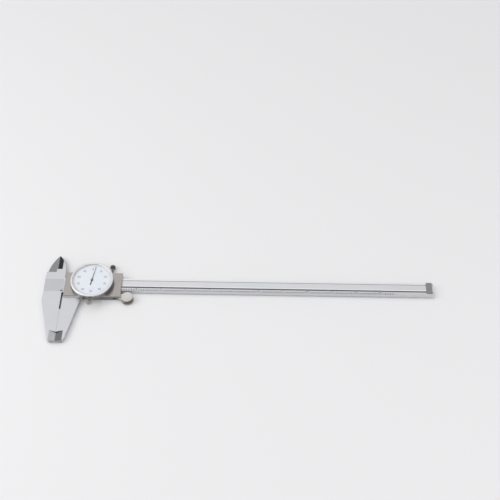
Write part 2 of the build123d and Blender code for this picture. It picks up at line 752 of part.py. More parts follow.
def build_pointer() -> Part:
    """Pointer at rest: a slim blade with a hub and a counterweight tail, pointing at zero."""
    z0 = dial_front_z + 0.4
    blade = polygon((-0.42, 0), (-0.14, pointer_length), (0.14, pointer_length), (0.42, 0),
                    (0.62, -pointer_tail), (-0.62, -pointer_tail))
    hub = Circle(pointer_hub_radius)
    solid = slab(blade + hub, z0, z0 + pointer_height) + post(0, 0, z0, z0 + 2 * pointer_height, pointer_hub_radius * 0.8)
    solid -= post(0, 0, z0, z0 + 2 * pointer_height, arbor_radius)
    return Pos(spindle_x, 0, 0) * Rot(0, 0, -pointer_lean()) * solid


def pointer_lean() -> float:
    """Clockwise degrees between the zero mark and the pointer with the jaws closed."""
    return 8.0


def build_clamp_screw() -> Part:
    """Knurled thumb screw through the case's wall, which clamps the bezel's skirt."""
    y_wall = -case_radius
    tip = bar_y(spindle_x, clamp_height, y_wall - 0.1, y_wall + case_wall - 0.02, clamp_thread_radius)
    neck = bar_y(spindle_x, clamp_height, y_wall - clamp_neck_length, y_wall - 0.1, clamp_neck_radius)
    head = turned(
        Cone(clamp_neck_radius, clamp_head_radius - 0.2, clamp_shoulder, align=(Align.CENTER, Align.CENTER, Align.MIN)),
        Pos(0, 0, clamp_shoulder) * fluted_disc(clamp_head_radius, 0.18, 18, clamp_head_length),
    )
    screw = tip + neck + Pos(spindle_x, y_wall - clamp_neck_length, clamp_height) * Rot(90, 0, 0) * head
    y_end = y_wall - clamp_neck_length - clamp_shoulder - clamp_head_length
    return screw - block(spindle_x - clamp_slot_width / 2, spindle_x + clamp_slot_width / 2, y_end - 1,
                         y_end + clamp_slot_depth, clamp_height - clamp_head_radius - 1,
                         clamp_height + clamp_head_radius + 1)


def build_depth_rod() -> Part:
    """Flat rod in the beam's back groove; its stepped tip ends level with the beam."""
    z0 = back_z + slide_gap
    half, tip = rod_width / 2, rod_tip_width / 2
    outline = polygon((rod_start, -half), (beam_reach - rod_tip_length, -half), (beam_reach - rod_tip_length + 1, -tip),
                      (beam_reach, -tip), (beam_reach, tip), (beam_reach - rod_tip_length + 1, tip),
                      (beam_reach - rod_tip_length, half), (rod_start, half))
    rod = slab(outline, z0, z0 + rod_thickness)
    for x in rod_screw_places():
        rod -= post(x, 0, z0, z0 + rod_thickness, movement_screw_radius)
    return rod


def build_rod_screws() -> Part:
    """Two small screws through the back cover into the depth rod."""
    seat = back_cover_thickness / 2
    return Compound([slotted_screw(x, 0, seat, back_z + rod_thickness, movement_screw_radius, seat - 0.05)
                     for x in rod_screw_places()])


def roller_disc_solid(radius: float) -> Part:
    """One fluted disc of the thumb roller, from its base up."""
    return fluted_disc(radius, roller_flute_depth, roller_flutes, roller_disc)


def build_thumb_roller() -> Part:
    """Upper disc of the thumb roller with its shaft, turned from one bar."""
    z1 = plate_front_z - roller_drop
    disc = Pos(roller_x, roller_y, z1 - roller_disc) * roller_disc_solid(roller_radius)
    rim = post(roller_x, roller_y, z1 - 0.2, z1 + 0.1, roller_radius - 1.0)
    shaft = post(roller_x, roller_y, roller_floor_gap + 0.3, z1 - roller_disc / 2, roller_shaft_radius)
    return disc - rim + shaft


def build_roller_lower_disc() -> Part:
    """Lower disc, pressed on the roller's shaft; its edge rolls on the beam."""
    disc = Pos(roller_x, roller_y, roller_floor_gap) * roller_disc_solid(roller_lower_radius)
    return disc - post(roller_x, roller_y, roller_floor_gap + 0.3, roller_floor_gap + roller_disc,
                       roller_shaft_radius)


def build_roller_arm() -> Part:
    """Sprung arm that carries the roller and swings it up to the beam's lower edge."""
    z0, z1 = arm_levels(0)
    dx, dy = roller_x - arm_pivot_x, roller_y - arm_pivot_y
    length, lean = sqrt(dx**2 + dy**2), degrees(atan2(dy, dx))
    difference = asin((arm_roller_boss - arm_pivot_boss) / length)
    c, s = cos(difference), sin(difference)
    web = polygon((-arm_pivot_boss * s, arm_pivot_boss * c), (length - arm_roller_boss * s, arm_roller_boss * c),
                  (length - arm_roller_boss * s, -arm_roller_boss * c), (-arm_pivot_boss * s, -arm_pivot_boss * c))
    outline = web + Circle(arm_pivot_boss) + Pos(length, 0) * Circle(arm_roller_boss)
    outline -= Circle(arm_pin_radius + pivot_clearance)
    outline -= Pos(length, 0) * Circle(roller_shaft_radius + pivot_clearance)
    return Pos(arm_pivot_x, arm_pivot_y) * Rot(0, 0, lean) * slab(outline, z0, z1)


def build_arm_pin() -> Part:
    """Pin in the lower rail that the roller arm turns on."""
    return post(arm_pivot_x, arm_pivot_y, rail_back_z, web_front_z, arm_pin_radius)


builders = {
    "beam": build_beam,
    "rack": build_rack,
    "rack_screw": build_rack_screw,
    "end_stop": build_end_stop,
    "end_stop_screws": build_end_stop_screws,
    "slider": build_slider,
    "front_plate": build_front_plate,
    "back_cover": build_back_cover,
    "cover_screws": build_cover_screws,
    "gib": build_gib,
    "gib_screws": build_gib_screws,
    "slide_lock_screw": build_lock_screw,
    "depth_rod": build_depth_rod,
    "depth_rod_screws": build_rod_screws,
    "dial_case": build_case,
    "dial_case_screws": build_case_screws,
    "bezel": build_bezel,
    "crystal": build_glass,
    "dial_face": build_dial_face,
    "bezel_clamp_screw": build_clamp_screw,
    "movement_plate": build_top_plate,
    "movement_pillars": build_pillars,
    "movement_screws": build_movement_screws,
    "rack_pinion": build_rack_pinion,
    "transfer_wheel": build_transfer_wheel,
    "centre_pinion": build_centre_pinion,
    "pointer": build_pointer,
    "backlash_wheel": build_backlash_wheel,
    "backlash_arbor": build_backlash_arbor,
    "hairspring": build_hairspring,
    "roller_arm": build_roller_arm,
    "roller_arm_pin": build_arm_pin,
    "thumb_roller": build_thumb_roller,
    "roller_lower_disc": build_roller_lower_disc,
}

os.makedirs("parts", exist_ok=True)
for name, build in builders.items():
    export_step(Pos(-spindle_x, 0, 0) * build(), f"parts/{name}.step")
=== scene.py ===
"""Looks of a 12 inch dial caliper: ground beam and jaws, printed dial, inch scale, turned pieces.

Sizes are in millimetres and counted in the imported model's frame: X along the beam to its
free end, Y towards the inside jaws, Z up out of the dial, with the origin on the rest
plane behind the dial's spindle.
"""
from __future__ import annotations

import logging
import math
from dataclasses import dataclass
from enum import Enum

import bmesh
import bpy
import numpy as np
from mathutils import Euler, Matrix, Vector


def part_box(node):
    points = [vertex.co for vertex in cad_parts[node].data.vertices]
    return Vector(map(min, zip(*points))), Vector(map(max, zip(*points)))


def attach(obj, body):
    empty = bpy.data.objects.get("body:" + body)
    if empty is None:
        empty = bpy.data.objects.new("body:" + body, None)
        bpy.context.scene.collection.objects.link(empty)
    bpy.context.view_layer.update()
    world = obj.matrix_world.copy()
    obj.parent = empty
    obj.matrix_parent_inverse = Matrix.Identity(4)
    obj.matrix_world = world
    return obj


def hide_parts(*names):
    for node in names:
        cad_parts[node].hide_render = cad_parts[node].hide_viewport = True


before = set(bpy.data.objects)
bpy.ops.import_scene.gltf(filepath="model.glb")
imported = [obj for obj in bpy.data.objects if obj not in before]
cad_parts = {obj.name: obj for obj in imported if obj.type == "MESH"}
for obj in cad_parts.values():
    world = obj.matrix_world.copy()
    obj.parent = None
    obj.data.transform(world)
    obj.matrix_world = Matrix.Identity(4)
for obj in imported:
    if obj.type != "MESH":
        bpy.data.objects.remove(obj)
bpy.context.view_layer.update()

logging.basicConfig(level=logging.INFO, format="%(message)s")
log = logging.getLogger("dial_caliper")

MM = 0.001
INCH = 25.4
JAW_PLANE = -30.1
SHARP_ANGLE = 32.0
CORNER_STEPS = 5
MERGE_DISTANCE = 1e-7
SLIVER_LENGTH = 1e-8
Point = tuple[float, float, float]
Colour = tuple[float, float, float]
Tree = bpy.types.NodeTree
Node = bpy.types.Node
Socket = bpy.types.NodeSocket


class Grain(Enum):
    """Direction in which a surface was ground.

    Each value is the frequency of the streaks along X, Y and Z, per millimetre.
    """

    ALONG_BEAM = (0.03, 2.6, 2.6)
    ALONG_JAW = (2.6, 0.03, 2.6)
    TURNED = (1.6, 1.6, 1.6)


class Spin(Enum):
    """Axis that a turned piece goes round."""

    UP = "Z"
    ALONG_Y = "Y"


# Shader node groups


@dataclass(frozen=True)
class Port:
    """One named socket of a node group."""

    name: str
    kind: str = "NodeSocketFloat"
    value: float | tuple | None = None


def node_group(name: str, inputs: tuple[Port, ...], outputs: tuple[Port, ...]
               ) -> tuple[Tree, Node, Node]:
    """Makes an empty shader node group with its sockets.

    Args:
        name: the group's name.
        inputs: sockets that a material sets.
        outputs: sockets that a material reads.

    Returns:
        The group, its input node and its output node.
    """
    tree = bpy.data.node_groups.new(name, "ShaderNodeTree")
    for side, ports in (("INPUT", inputs), ("OUTPUT", outputs)):
        for port in ports:
            socket = tree.interface.new_socket(port.name, in_out=side, socket_type=port.kind)
            if port.value is not None:
                socket.default_value = port.value
    return tree, tree.nodes.new("NodeGroupInput"), tree.nodes.new("NodeGroupOutput")


def added(tree: Tree, kind: str, values: dict[str | int, float | tuple] | None = None,
          **settings: object) -> Node:
    """Adds a shader node.

    Args:
        tree: the nodes that it joins.
        kind: its type, less the word ShaderNode.
        values: values of its inputs, by their name or number.
        settings: its own settings, such as the operation of a math node.

    Returns:
        The node.
    """
    node = tree.nodes.new("ShaderNode" + kind)
    for name, setting in settings.items():
        setattr(node, name, setting)
    for socket, value in (values or {}).items():
        node.inputs[socket].default_value = value
    return node


def link(tree: Tree, *pairs: tuple[Socket, Socket]) -> None:
    """Links nodes.

    Args:
        tree: the nodes.
        pairs: an output and the input that reads it, for each link.
    """
    for source, target in pairs:
        tree.links.new(source, target)


def ground_grain_group() -> Tree:
    """Streaks of a ground or brushed surface.

    Object coordinates in millimetres are stretched by the grain's frequencies, so that
    a plain noise becomes long streaks along the direction with the lowest frequency.

    Returns:
        A group that puts out Streak, from 0 to 1, and Height for a bump.
    """
    tree, given, out = node_group(
        "ground_grain",
        (Port("Frequency", "NodeSocketVector", (1.0, 1.0, 1.0)),),
        (Port("Streak"), Port("Height")),
    )
    place = added(tree, "TexCoord")
    to_mm = added(tree, "VectorMath", {"Scale": 1 / MM}, operation="SCALE")
    stretch = added(tree, "VectorMath", operation="MULTIPLY")
    coarse = added(tree, "TexNoise", {"Scale": 1.0, "Detail": 5.0, "Roughness": 0.65})
    fine = added(tree, "TexNoise", {"Scale": 4.0, "Detail": 3.0})
    link(
        tree,
        (place.outputs["Object"], to_mm.inputs[0]),
        (to_mm.outputs[0], stretch.inputs[0]),
        (given.outputs["Frequency"], stretch.inputs[1]),
        (stretch.outputs[0], coarse.inputs["Vector"]),
        (stretch.outputs[0], fine.inputs["Vector"]),
        (coarse.outputs["Fac"], out.inputs["Streak"]),
        (fine.outputs["Fac"], out.inputs["Height"]),
    )
    return tree


def handling_group() -> Tree:
    """Soft patches left by oil and fingers.

    A noise whose waves are as long as the patch size is stepped, so that patches stand apart.

    Returns:
        A group that puts out Dulled, from 0, clean, to 1, dulled.
    """
    tree, given, out = node_group("handling", (Port("Patch Size", value=14.0),), (Port("Dulled"),))
    place = added(tree, "TexCoord")
    shrink = added(tree, "Math", {0: 1 / MM}, operation="DIVIDE")
    patches = added(tree, "TexNoise", {"Detail": 4.0, "Roughness": 0.6})
    steps = added(tree, "MapRange", {"From Min": 0.35, "From Max": 0.7})
    link(
        tree,
        (given.outputs["Patch Size"], shrink.inputs[1]),
        (place.outputs["Object"], patches.inputs["Vector"]),
        (shrink.outputs[0], patches.inputs["Scale"]),
        (patches.outputs["Fac"], steps.inputs["Value"]),
        (steps.outputs["Result"], out.inputs["Dulled"]),
    )
    return tree


def scratches_group() -> Tree:
    """Sparse fine scratches in two crossing directions.

    In each direction the object coordinates are turned and stretched, so that a noise
    becomes long threads. Only its highest values are kept.

    Returns:
        A group that puts out Scratched, from 0 to 1.
    """
    tree, given, out = node_group("scratches", (Port("Share", value=0.12),), (Port("Scratched"),))
    place = added(tree, "TexCoord")
    bound = added(tree, "Math", {0: 0.86}, operation="SUBTRACT")
    either = added(tree, "Math", operation="MAXIMUM")
    thread_scale = (0.12 / MM, 5.0 / MM, 5.0 / MM)
    for angle, target in ((0.5, either.inputs[0]), (-1.1, either.inputs[1])):
        lay = added(tree, "Mapping", {"Rotation": (0.0, 0.0, angle), "Scale": thread_scale})
        noise = added(tree, "TexNoise", {"Detail": 1.0})
        keep = added(tree, "MapRange", {"From Max": 0.9})
        link(
            tree,
            (place.outputs["Object"], lay.inputs["Vector"]),
            (lay.outputs["Vector"], noise.inputs["Vector"]),
            (noise.outputs["Fac"], keep.inputs["Value"]),
            (bound.outputs[0], keep.inputs["From Min"]),
            (keep.outputs["Result"], target),
        )
    link(
        tree,
        (given.outputs["Share"], bound.inputs[1]),
        (either.outputs[0], out.inputs["Scratched"]),
    )
    return tree


def turning_marks_group() -> Tree:
    """Fine rings that a lathe tool leaves round an axis along Z.

    The distance from the axis, in millimetres, is bent a little by a noise and goes
    through a sine wave.

    Returns:
        A group that puts out Ring, from 0 to 1, for a tone or a bump.
    """
    tree, given, out = node_group(
        "turning_marks",
        (Port("Centre", "NodeSocketVector", (0.0, 0.0, 0.0)), Port("Pitch", value=0.25)),
        (Port("Ring"),),
    )
    place = added(tree, "TexCoord")
    away = added(tree, "VectorMath", operation="SUBTRACT")
    flat = added(tree, "VectorMath", {1: (1 / MM, 1 / MM, 0.0)}, operation="MULTIPLY")
    reach = added(tree, "VectorMath", operation="LENGTH")
    wander = added(tree, "TexNoise", {"Scale": 0.15 / MM})
    bent = added(tree, "Math", operation="ADD")
    turns = added(tree, "Math", operation="DIVIDE")
    angle = added(tree, "Math", {1: 2 * math.pi}, operation="MULTIPLY")
    wave = added(tree, "Math", operation="SINE")
    half = added(tree, "Math", {1: 0.5, 2: 0.5}, operation="MULTIPLY_ADD")
    link(
        tree,
        (place.outputs["Object"], away.inputs[0]),
        (given.outputs["Centre"], away.inputs[1]),
        (away.outputs[0], flat.inputs[0]),
        (flat.outputs[0], reach.inputs[0]),
        (place.outputs["Object"], wander.inputs["Vector"]),
        (reach.outputs["Value"], bent.inputs[0]),
        (wander.outputs["Fac"], bent.inputs[1]),
        (bent.outputs[0], turns.inputs[0]),
        (given.outputs["Pitch"], turns.inputs[1]),
        (turns.outputs[0], angle.inputs[0]),
        (angle.outputs[0], wave.inputs[0]),
        (wave.outputs[0], half.inputs[0]),
        (half.outputs[0], out.inputs["Ring"]),
    )
    return tree


def eased_edge_group() -> Tree:
    """Small stoned radius on every sharp edge.

    The Bevel node's normal is averaged over the radius. Where it differs from the
    surface's own normal there is an edge, so their dot product, stepped the other way
    round, is its mask.

    Returns:
        A group that puts out the eased Normal and the Edge mask, where metals paint a highlight.
    """
    tree, given, out = node_group(
        "eased_edge",
        (Port("Radius", value=0.0002),),
        (Port("Normal", "NodeSocketVector"), Port("Edge")),
    )
    bevel = added(tree, "Bevel", samples=4)
    surface = added(tree, "NewGeometry")
    dot = added(tree, "VectorMath", operation="DOT_PRODUCT")
    mask = added(tree, "MapRange", {"From Min": 0.995, "From Max": 0.8})
    link(
        tree,
        (given.outputs["Radius"], bevel.inputs["Radius"]),
        (bevel.outputs["Normal"], dot.inputs[0]),
        (surface.outputs["Normal"], dot.inputs[1]),
        (dot.outputs["Value"], mask.inputs["Value"]),
        (bevel.outputs["Normal"], out.inputs["Normal"]),
        (mask.outputs["Result"], out.inputs["Edge"]),
    )
    return tree


def zone_group() -> Tree:
    """Mask of the surface inside a box, where a solid gets painted shade, painted highlight or a
    second tone.

    A point is inside where its distance to the box's middle, turned back by the box's own
    turn about Z and divided by the box's half size, stays under 1 on all three axes. With
    Round at 1 the box is a ring: its X is the distance from the dial's axis and its Y is 0.

    Returns:
        A group that puts out Inside, 0 or 1 with a soft step.
    """
    tree, given, out = node_group(
        "zone",
        (
            Port("Middle", "NodeSocketVector", (0.0, 0.0, 0.0)),
            Port("Half Size", "NodeSocketVector", (1.0, 1.0, 1.0)),
            Port("Turn", value=0.0),
            Port("Round", value=0.0),
        ),
        (Port("Inside"),),
    )
    place = added(tree, "TexCoord")
    flat = added(tree, "VectorMath", {1: (1.0, 1.0, 0.0)}, operation="MULTIPLY")
    reach = added(tree, "VectorMath", operation="LENGTH")
    height = added(tree, "SeparateXYZ")
    ring = added(tree, "CombineXYZ")
    either = added(tree, "Mix", data_type="VECTOR")
    # The sockets of its other data types have the same names, so these go by number.
    box_place, ring_place, chosen = either.inputs[4], either.inputs[5], either.outputs[1]
    away = added(tree, "VectorMath", operation="SUBTRACT")
    turn = added(tree, "VectorRotate", rotation_type="Z_AXIS", invert=True)
    share = added(tree, "VectorMath", operation="DIVIDE")
    size = added(tree, "VectorMath", operation="ABSOLUTE")
    split = added(tree, "SeparateXYZ")
    xy = added(tree, "Math", operation="MAXIMUM")
    xyz = added(tree, "Math", operation="MAXIMUM")
    step = added(tree, "MapRange", {"From Min": 1.004, "From Max": 0.996})
    link(
        tree,
        (place.outputs["Object"], flat.inputs[0]),
        (flat.outputs[0], reach.inputs[0]),
        (place.outputs["Object"], height.inputs[0]),
        (reach.outputs["Value"], ring.inputs["X"]),
        (height.outputs["Z"], ring.inputs["Z"]),
        (given.outputs["Round"], either.inputs["Factor"]),
        (place.outputs["Object"], box_place),
        (ring.outputs[0], ring_place),
        (chosen, away.inputs[0]),
        (given.outputs["Middle"], away.inputs[1]),
        (away.outputs[0], turn.inputs["Vector"]),
        (given.outputs["Turn"], turn.inputs["Angle"]),
        (turn.outputs[0], share.inputs[0]),
        (given.outputs["Half Size"], share.inputs[1]),
        (share.outputs[0], size.inputs[0]),
        (size.outputs[0], split.inputs[0]),
        (split.outputs["X"], xy.inputs[0]),
        (split.outputs["Y"], xy.inputs[1]),
        (xy.outputs[0], xyz.inputs[0]),
        (split.outputs["Z"], xyz.inputs[1]),
        (xyz.outputs[0], step.inputs["Value"]),
        (step.outputs["Result"], out.inputs["Inside"]),
    )
    return tree


def placed_group(tree: Tree, name: str, values: dict[str, float | tuple] | None = None) -> Node:
    """Places a shared node group in a material, and builds it the first time.

    Args:
        tree: the material's nodes.
        name: the group's name.
        values: values of its inputs; the others keep the group's own.

    Returns:
        The node that holds the group.
    """
    makers = {
        "ground_grain": ground_grain_group,
        "handling": handling_group,
        "scratches": scratches_group,
        "turning_marks": turning_marks_group,
        "eased_edge": eased_edge_group,
        "zone": zone_group,
    }
    group = bpy.data.node_groups.get(name) or makers[name]()
    return added(tree, "Group", values, node_tree=group)


def mixed(tree: Tree, share: Socket, first: Socket | tuple, second: Socket | tuple,
          blend: str = "MIX") -> Socket:
    """Two colours mixed by a mask.

    Args:
        tree: the material's nodes.
        share: mask of the second colour.
        first: a colour, or the socket that gives it.
        second: the same for the second colour.
        blend: how the second acts on the first.

    Returns:
        The socket with the mixed colour.
    """
    mix = added(tree, "Mix", data_type="RGBA", blend_type=blend)
    link(tree, (share, mix.inputs["Factor"]))
    for name, given in (("A", first), ("B", second)):
        if isinstance(given, tuple):
            mix.inputs[name].default_value = given
        else:
            link(tree, (given, mix.inputs[name]))
    return mix.outputs["Result"]


# Finishes


@dataclass(frozen=True)
class Zone:
    """Box on a solid, in millimetres, whose colour is multiplied by a shade; most zones are painted
    shade or painted highlight.

    It may be turned about Z, in degrees. A ring zone takes the radius from the dial's axis
    as its X.
    """

    low: Point
    high: Point
    shade: float
    turn: float = 0.0
    ring: bool = False


@dataclass(frozen=True)
class Rings:
    """Rings of a lathe tool round an upright axis, in millimetres."""

    centre: tuple[float, float]
    pitch: float


@dataclass(frozen=True)
class Finish:
    """What a piece is dressed in; each kind of finish wires its own material."""

    name: str
    colour: Colour
    roughness: float
    preview_alpha = 1.0

    def material(self) -> bpy.types.Material:
        """The finish as a material, made the first time that a piece asks for it.

        Returns:
            The material.
        """
        known = bpy.data.materials.get(self.name)
        if known:
            return known
        made = bpy.data.materials.new(self.name)
        made.use_nodes = True
        made.diffuse_color = (*self.colour, self.preview_alpha)
        self.wire(made.node_tree, made.node_tree.nodes["Principled BSDF"])
        return made

    def wire(self, tree: Tree, shader: Node) -> None:
        """Sets up the material's nodes; left to each kind of finish."""
        raise NotImplementedError


@dataclass(frozen=True)
class Metal(Finish):
    """Ground, brushed, turned or plated metal."""

    grain: Grain = Grain.ALONG_BEAM
    contrast: float = 0.08
    relief: float = 0.004
    relief_strength: float = 0.5
    edge_light: float = 0.25
    edge_radius: float = 0.2
    dulling: float = 0.06
    scratched: float = 0.08
    zones: tuple[Zone, ...] = ()
    rings: Rings | None = None

    def wire(self, tree: Tree, shader: Node) -> None:
        """Sets up the metal.

        The streak mask mixes a darker and a lighter tone of the metal. Eased edges get a painted
        highlight, handled patches and scratches are duller, and each zone multiplies the tone with
        painted shade, painted highlight or a second tone.

        Args:
            tree: the material's nodes.
            shader: its Principled BSDF.
        """
        shader.inputs["Metallic"].default_value = 1.0
        streak, height = self._streaks(tree)
        tone = mixed(tree, streak, self._tone(1 - self.contrast), self._tone(1 + self.contrast))
        edges = placed_group(tree, "eased_edge", {"Radius": self.edge_radius * MM})
        # painted highlight: eased edges lighter than the metal's tone
        colour = mixed(tree, edges.outputs["Edge"], tone, self._tone(1 + self.edge_light))
        for zone in self.zones:
            colour = self._shaded(tree, colour, zone)
        bump = added(tree, "Bump", {"Strength": self.relief_strength, "Distance": self.relief * MM})
        link(
            tree,
            (colour, shader.inputs["Base Color"]),
            (self._rough(tree), shader.inputs["Roughness"]),
            (height, bump.inputs["Height"]),
            (edges.outputs["Normal"], bump.inputs["Normal"]),
            (bump.outputs["Normal"], shader.inputs["Normal"]),
        )

    def _tone(self, share: float) -> tuple[float, float, float, float]:
        """The metal's colour times a share, kept under white."""
        return (*(min(1.0, c * share) for c in self.colour), 1.0)

    def _streaks(self, tree: Tree) -> tuple[Socket, Socket]:
        """Grain of the metal, or the lathe's rings where it has them.

        Args:
            tree: the material's nodes.

        Returns:
            The mask of the tone and the height of the relief.
        """
        if self.rings:
            x, y = self.rings.centre
            sizes = {"Centre": (x * MM, y * MM, 0.0), "Pitch": self.rings.pitch}
            marks = placed_group(tree, "turning_marks", sizes)
            return marks.outputs["Ring"], marks.outputs["Ring"]
        grain = placed_group(tree, "ground_grain", {"Frequency": self.grain.value})
        return grain.outputs["Streak"], grain.outputs["Height"]

    def _rough(self, tree: Tree) -> Socket:
        """Roughness: the finish's own, more in handled patches and in scratches.

        Args:
            tree: the material's nodes.

        Returns:
            The socket with the roughness.
        """
        handling = placed_group(tree, "handling")
        scratches = placed_group(tree, "scratches")
        ends = {"To Min": self.roughness, "To Max": self.roughness + self.dulling}
        dull = added(tree, "MapRange", ends)
        both = added(tree, "Math", {1: self.scratched}, operation="MULTIPLY_ADD")
        link(
            tree,
            (handling.outputs["Dulled"], dull.inputs["Value"]),
            (scratches.outputs["Scratched"], both.inputs[0]),
            (dull.outputs["Result"], both.inputs[2]),
        )
        return both.outputs[0]

    def _shaded(self, tree: Tree, colour: Socket, zone: Zone) -> Socket:
        """The colour, multiplied by the zone's shade inside its box.

        Args:
            tree: the material's nodes.
            colour: the colour so far.
            zone: the box and its shade.

        Returns:
            The socket with the shaded colour.
        """
        low, high = np.array(zone.low) * MM, np.array(zone.high) * MM
        mask = placed_group(tree, "zone", {
            "Middle": tuple((low + high) / 2),
            "Half Size": tuple((high - low) / 2),
            "Turn": math.radians(zone.turn),
            "Round": float(zone.ring),
        })
        shade = (zone.shade, zone.shade, zone.shade, 1.0)
        return mixed(tree, mask.outputs["Inside"], colour, shade, "MULTIPLY")


@dataclass(frozen=True)
class Coating(Finish):
    """Enamel, ink or blackening: an even colour with a slight mottle and a fine tooth."""

    mottle: float = 0.02
    tooth: float = 0.0
    tooth_strength: float = 0.3

    def wire(self, tree: Tree, shader: Node) -> None:
        """Sets up the coating, whose tone follows soft patches.

        Args:
            tree: the material's nodes.
            shader: its Principled BSDF.
        """
        shader.inputs["Roughness"].default_value = self.roughness
        patches = placed_group(tree, "handling")
        darker = (*(c * (1 - self.mottle) for c in self.colour), 1.0)
        tone = mixed(tree, patches.outputs["Dulled"], (*self.colour, 1.0), darker)
        link(tree, (tone, shader.inputs["Base Color"]))
        if self.tooth:
            grain = placed_group(tree, "ground_grain", {"Frequency": Grain.TURNED.value})
            sizes = {"Strength": self.tooth_strength, "Distance": self.tooth * MM}
            bump = added(tree, "Bump", sizes)
            link(
                tree,
                (grain.outputs["Height"], bump.inputs["Height"]),
                (bump.outputs["Normal"], shader.inputs["Normal"]),
            )


@dataclass(frozen=True)
class ClearGlass(Finish):
    """Thin clear cover."""

    index: float = 1.35
    preview_alpha = 0.2

    def wire(self, tree: Tree, shader: Node) -> None:
        """Sets up glass that lets shadow and diffuse rays through, so that the dial is evenly lit.

        Args:
            tree: the material's nodes.
            shader: its Principled BSDF.
        """
        shader.inputs["Base Color"].default_value = (*self.colour, 1.0)
        shader.inputs["Roughness"].default_value = self.roughness
        shader.inputs["IOR"].default_value = self.index
        shader.inputs["Transmission Weight"].default_value = 1.0
        clear = added(tree, "BsdfTransparent", {"Color": (*self.colour, 1.0)})
        rays = added(tree, "LightPath")
        either = added(tree, "Math", operation="MAXIMUM")
        mix = added(tree, "MixShader")
        link(
            tree,
            (rays.outputs["Is Shadow Ray"], either.inputs[0]),
            (rays.outputs["Is Diffuse Ray"], either.inputs[1]),
            (either.outputs[0], mix.inputs["Fac"]),
            (shader.outputs["BSDF"], mix.inputs[1]),
            (clear.outputs["BSDF"], mix.inputs[2]),
            (mix.outputs["Shader"], tree.nodes["Material Output"].inputs["Surface"]),
        )


# Each zone's limits lie just inside or just outside the faces that it covers.
BEAM_ZONES = (
    Zone((-51.0, -9.8, 4.0), (-30.1, 5.8, 4.94), 0.87),  # band across the fixed head
    # painted shade: the fixed nib's bevel darkened for the dark surroundings it faces
    Zone((-39.3, 19.6, 2.9), (-34.02, 39.0, 5.0), 0.08),  # bevel of the fixed nib
    # painted shade: the knife cut's tilted facet a little darker
    Zone((-37.4, -71.85, 3.0), (-30.1, -60.0, 5.02), 0.77),  # knife cut of the fixed jaw
    # painted shade: dark line along the step at the top of the cut
    Zone((-37.4, -60.75, 3.2), (-30.0, -60.25, 5.02), 0.55, -16.0),  # top of that cut
    # painted shade on the fixed jaw's end face
    Zone((-50.0, -72.0, 1.0), (-30.1, -71.86, 5.1), 0.55),  # end of the fixed jaw
    Zone((-30.5, -60.3, 4.9), (-30.0, -24.0, 5.1), 0.80),  # edge along the closed jaws
    # painted shade inside the relief slot
    Zone((-33.0, -32.5, 1.1), (-27.0, -8.3, 4.95), 0.2),  # wall of the relief slot
    # painted highlight along the beam's upper land
    Zone((-29.5, 5.4, 4.4), (348.2, 8.1, 5.1), 1.28),  # upper land of the beam
    # painted shade in the channel between the rack and the scale strip
    Zone((-9.0, -4.3, 3.0), (349.0, -2.3, 4.95), 0.28),  # channel beside the rack
    Zone((-29.5, -8.1, 4.9), (319.0, -6.1, 5.1), 0.90),  # strip with the small figures
)
JAW_ZONES = (
    # painted shade on the recessed front of the movable nib
    Zone((-50.0, 15.45, 2.0), (-39.25, 39.0, 3.05), 0.44),  # front of the movable nib
    # painted shade on the movable jaw's knife cut facet
    Zone((-30.1, -71.85, 3.0), (-22.8, -60.0, 5.07), 0.30),  # knife cut of the movable jaw
    # painted shade: dark line along the step at the top of the cut
    Zone((-30.2, -60.75, 3.2), (-22.8, -60.25, 5.07), 0.55, 16.0),  # top of that cut
    # painted shade on the movable jaw's end face
    Zone((-30.1, -72.0, 1.0), (-20.0, -71.86, 5.2), 0.55),  # end of the movable jaw
    # painted shade on the side face of the slider's rail
    Zone((-9.0, -17.3, 1.0), (30.7, -17.15, 6.05), 0.35),  # side of the slider's rail
    Zone((-30.2, -60.3, 4.9), (-29.7, -24.0, 5.1), 0.80),  # edge along the closed jaws
    # painted shade inside the relief slot
    Zone((-33.0, -32.5, 1.1), (-27.0, -8.3, 4.95), 0.2),  # wall of the relief slot
)
# painted highlight along the rack's lower edge
RACK_ZONES = (Zone((-30.0, -2.6, 4.7), (356.0, -1.3, 4.9), 1.33),)  # bright edge over the teeth
# painted shade at the foot of the bezel's rim
BEZEL_ZONES = (Zone((21.5, -1.0, 11.0), (23.0, 1.0, 12.75), 0.45, ring=True),)  # foot of the rim
GROUND_STEEL = (0.69, 0.695, 0.715)
ROLLER_RINGS = Rings((37.5, -16.9), 0.4)
BEAM_FINISH = Metal("ground_beam", GROUND_STEEL, 0.34, contrast=0.05, edge_radius=0.06,
                    zones=BEAM_ZONES)
JAW_FINISH = Metal("ground_jaw", GROUND_STEEL, 0.34, contrast=0.05, edge_radius=0.06,
                   zones=JAW_ZONES)
RACK_FINISH = Metal("milled_rack", (0.785, 0.79, 0.805), 0.38, contrast=0.06, edge_light=0.1,
                    edge_radius=0.06, zones=RACK_ZONES)
PLATE_FINISH = Metal("brushed_plate", (0.43, 0.40, 0.38), 0.24, Grain.ALONG_JAW, contrast=0.16)
STOP_FINISH = Metal("bead_blasted_stop", (0.34, 0.34, 0.34), 0.5, Grain.TURNED, contrast=0.1)
COVER_FINISH = Metal("ground_cover", (0.62, 0.62, 0.62), 0.36)
# The case's dark tone is painted shade for the dark surroundings its sides reflect.
CASE_FINISH = Metal("satin_case", (0.25, 0.245, 0.24), 0.36, Grain.TURNED, contrast=0.45)
BEZEL_FINISH = Metal("bright_bezel", (0.86, 0.85, 0.835), 0.34, Grain.TURNED, contrast=0.02,
                     relief=0.0, dulling=0.03, edge_light=0.0, zones=BEZEL_ZONES)
SCREW_FINISH = Metal("turned_screw", (0.50, 0.49, 0.47), 0.32, Grain.TURNED)
CLAMP_FINISH = Metal("nickel_clamp", (0.43, 0.41, 0.37), 0.3, Grain.TURNED, relief=0.0)
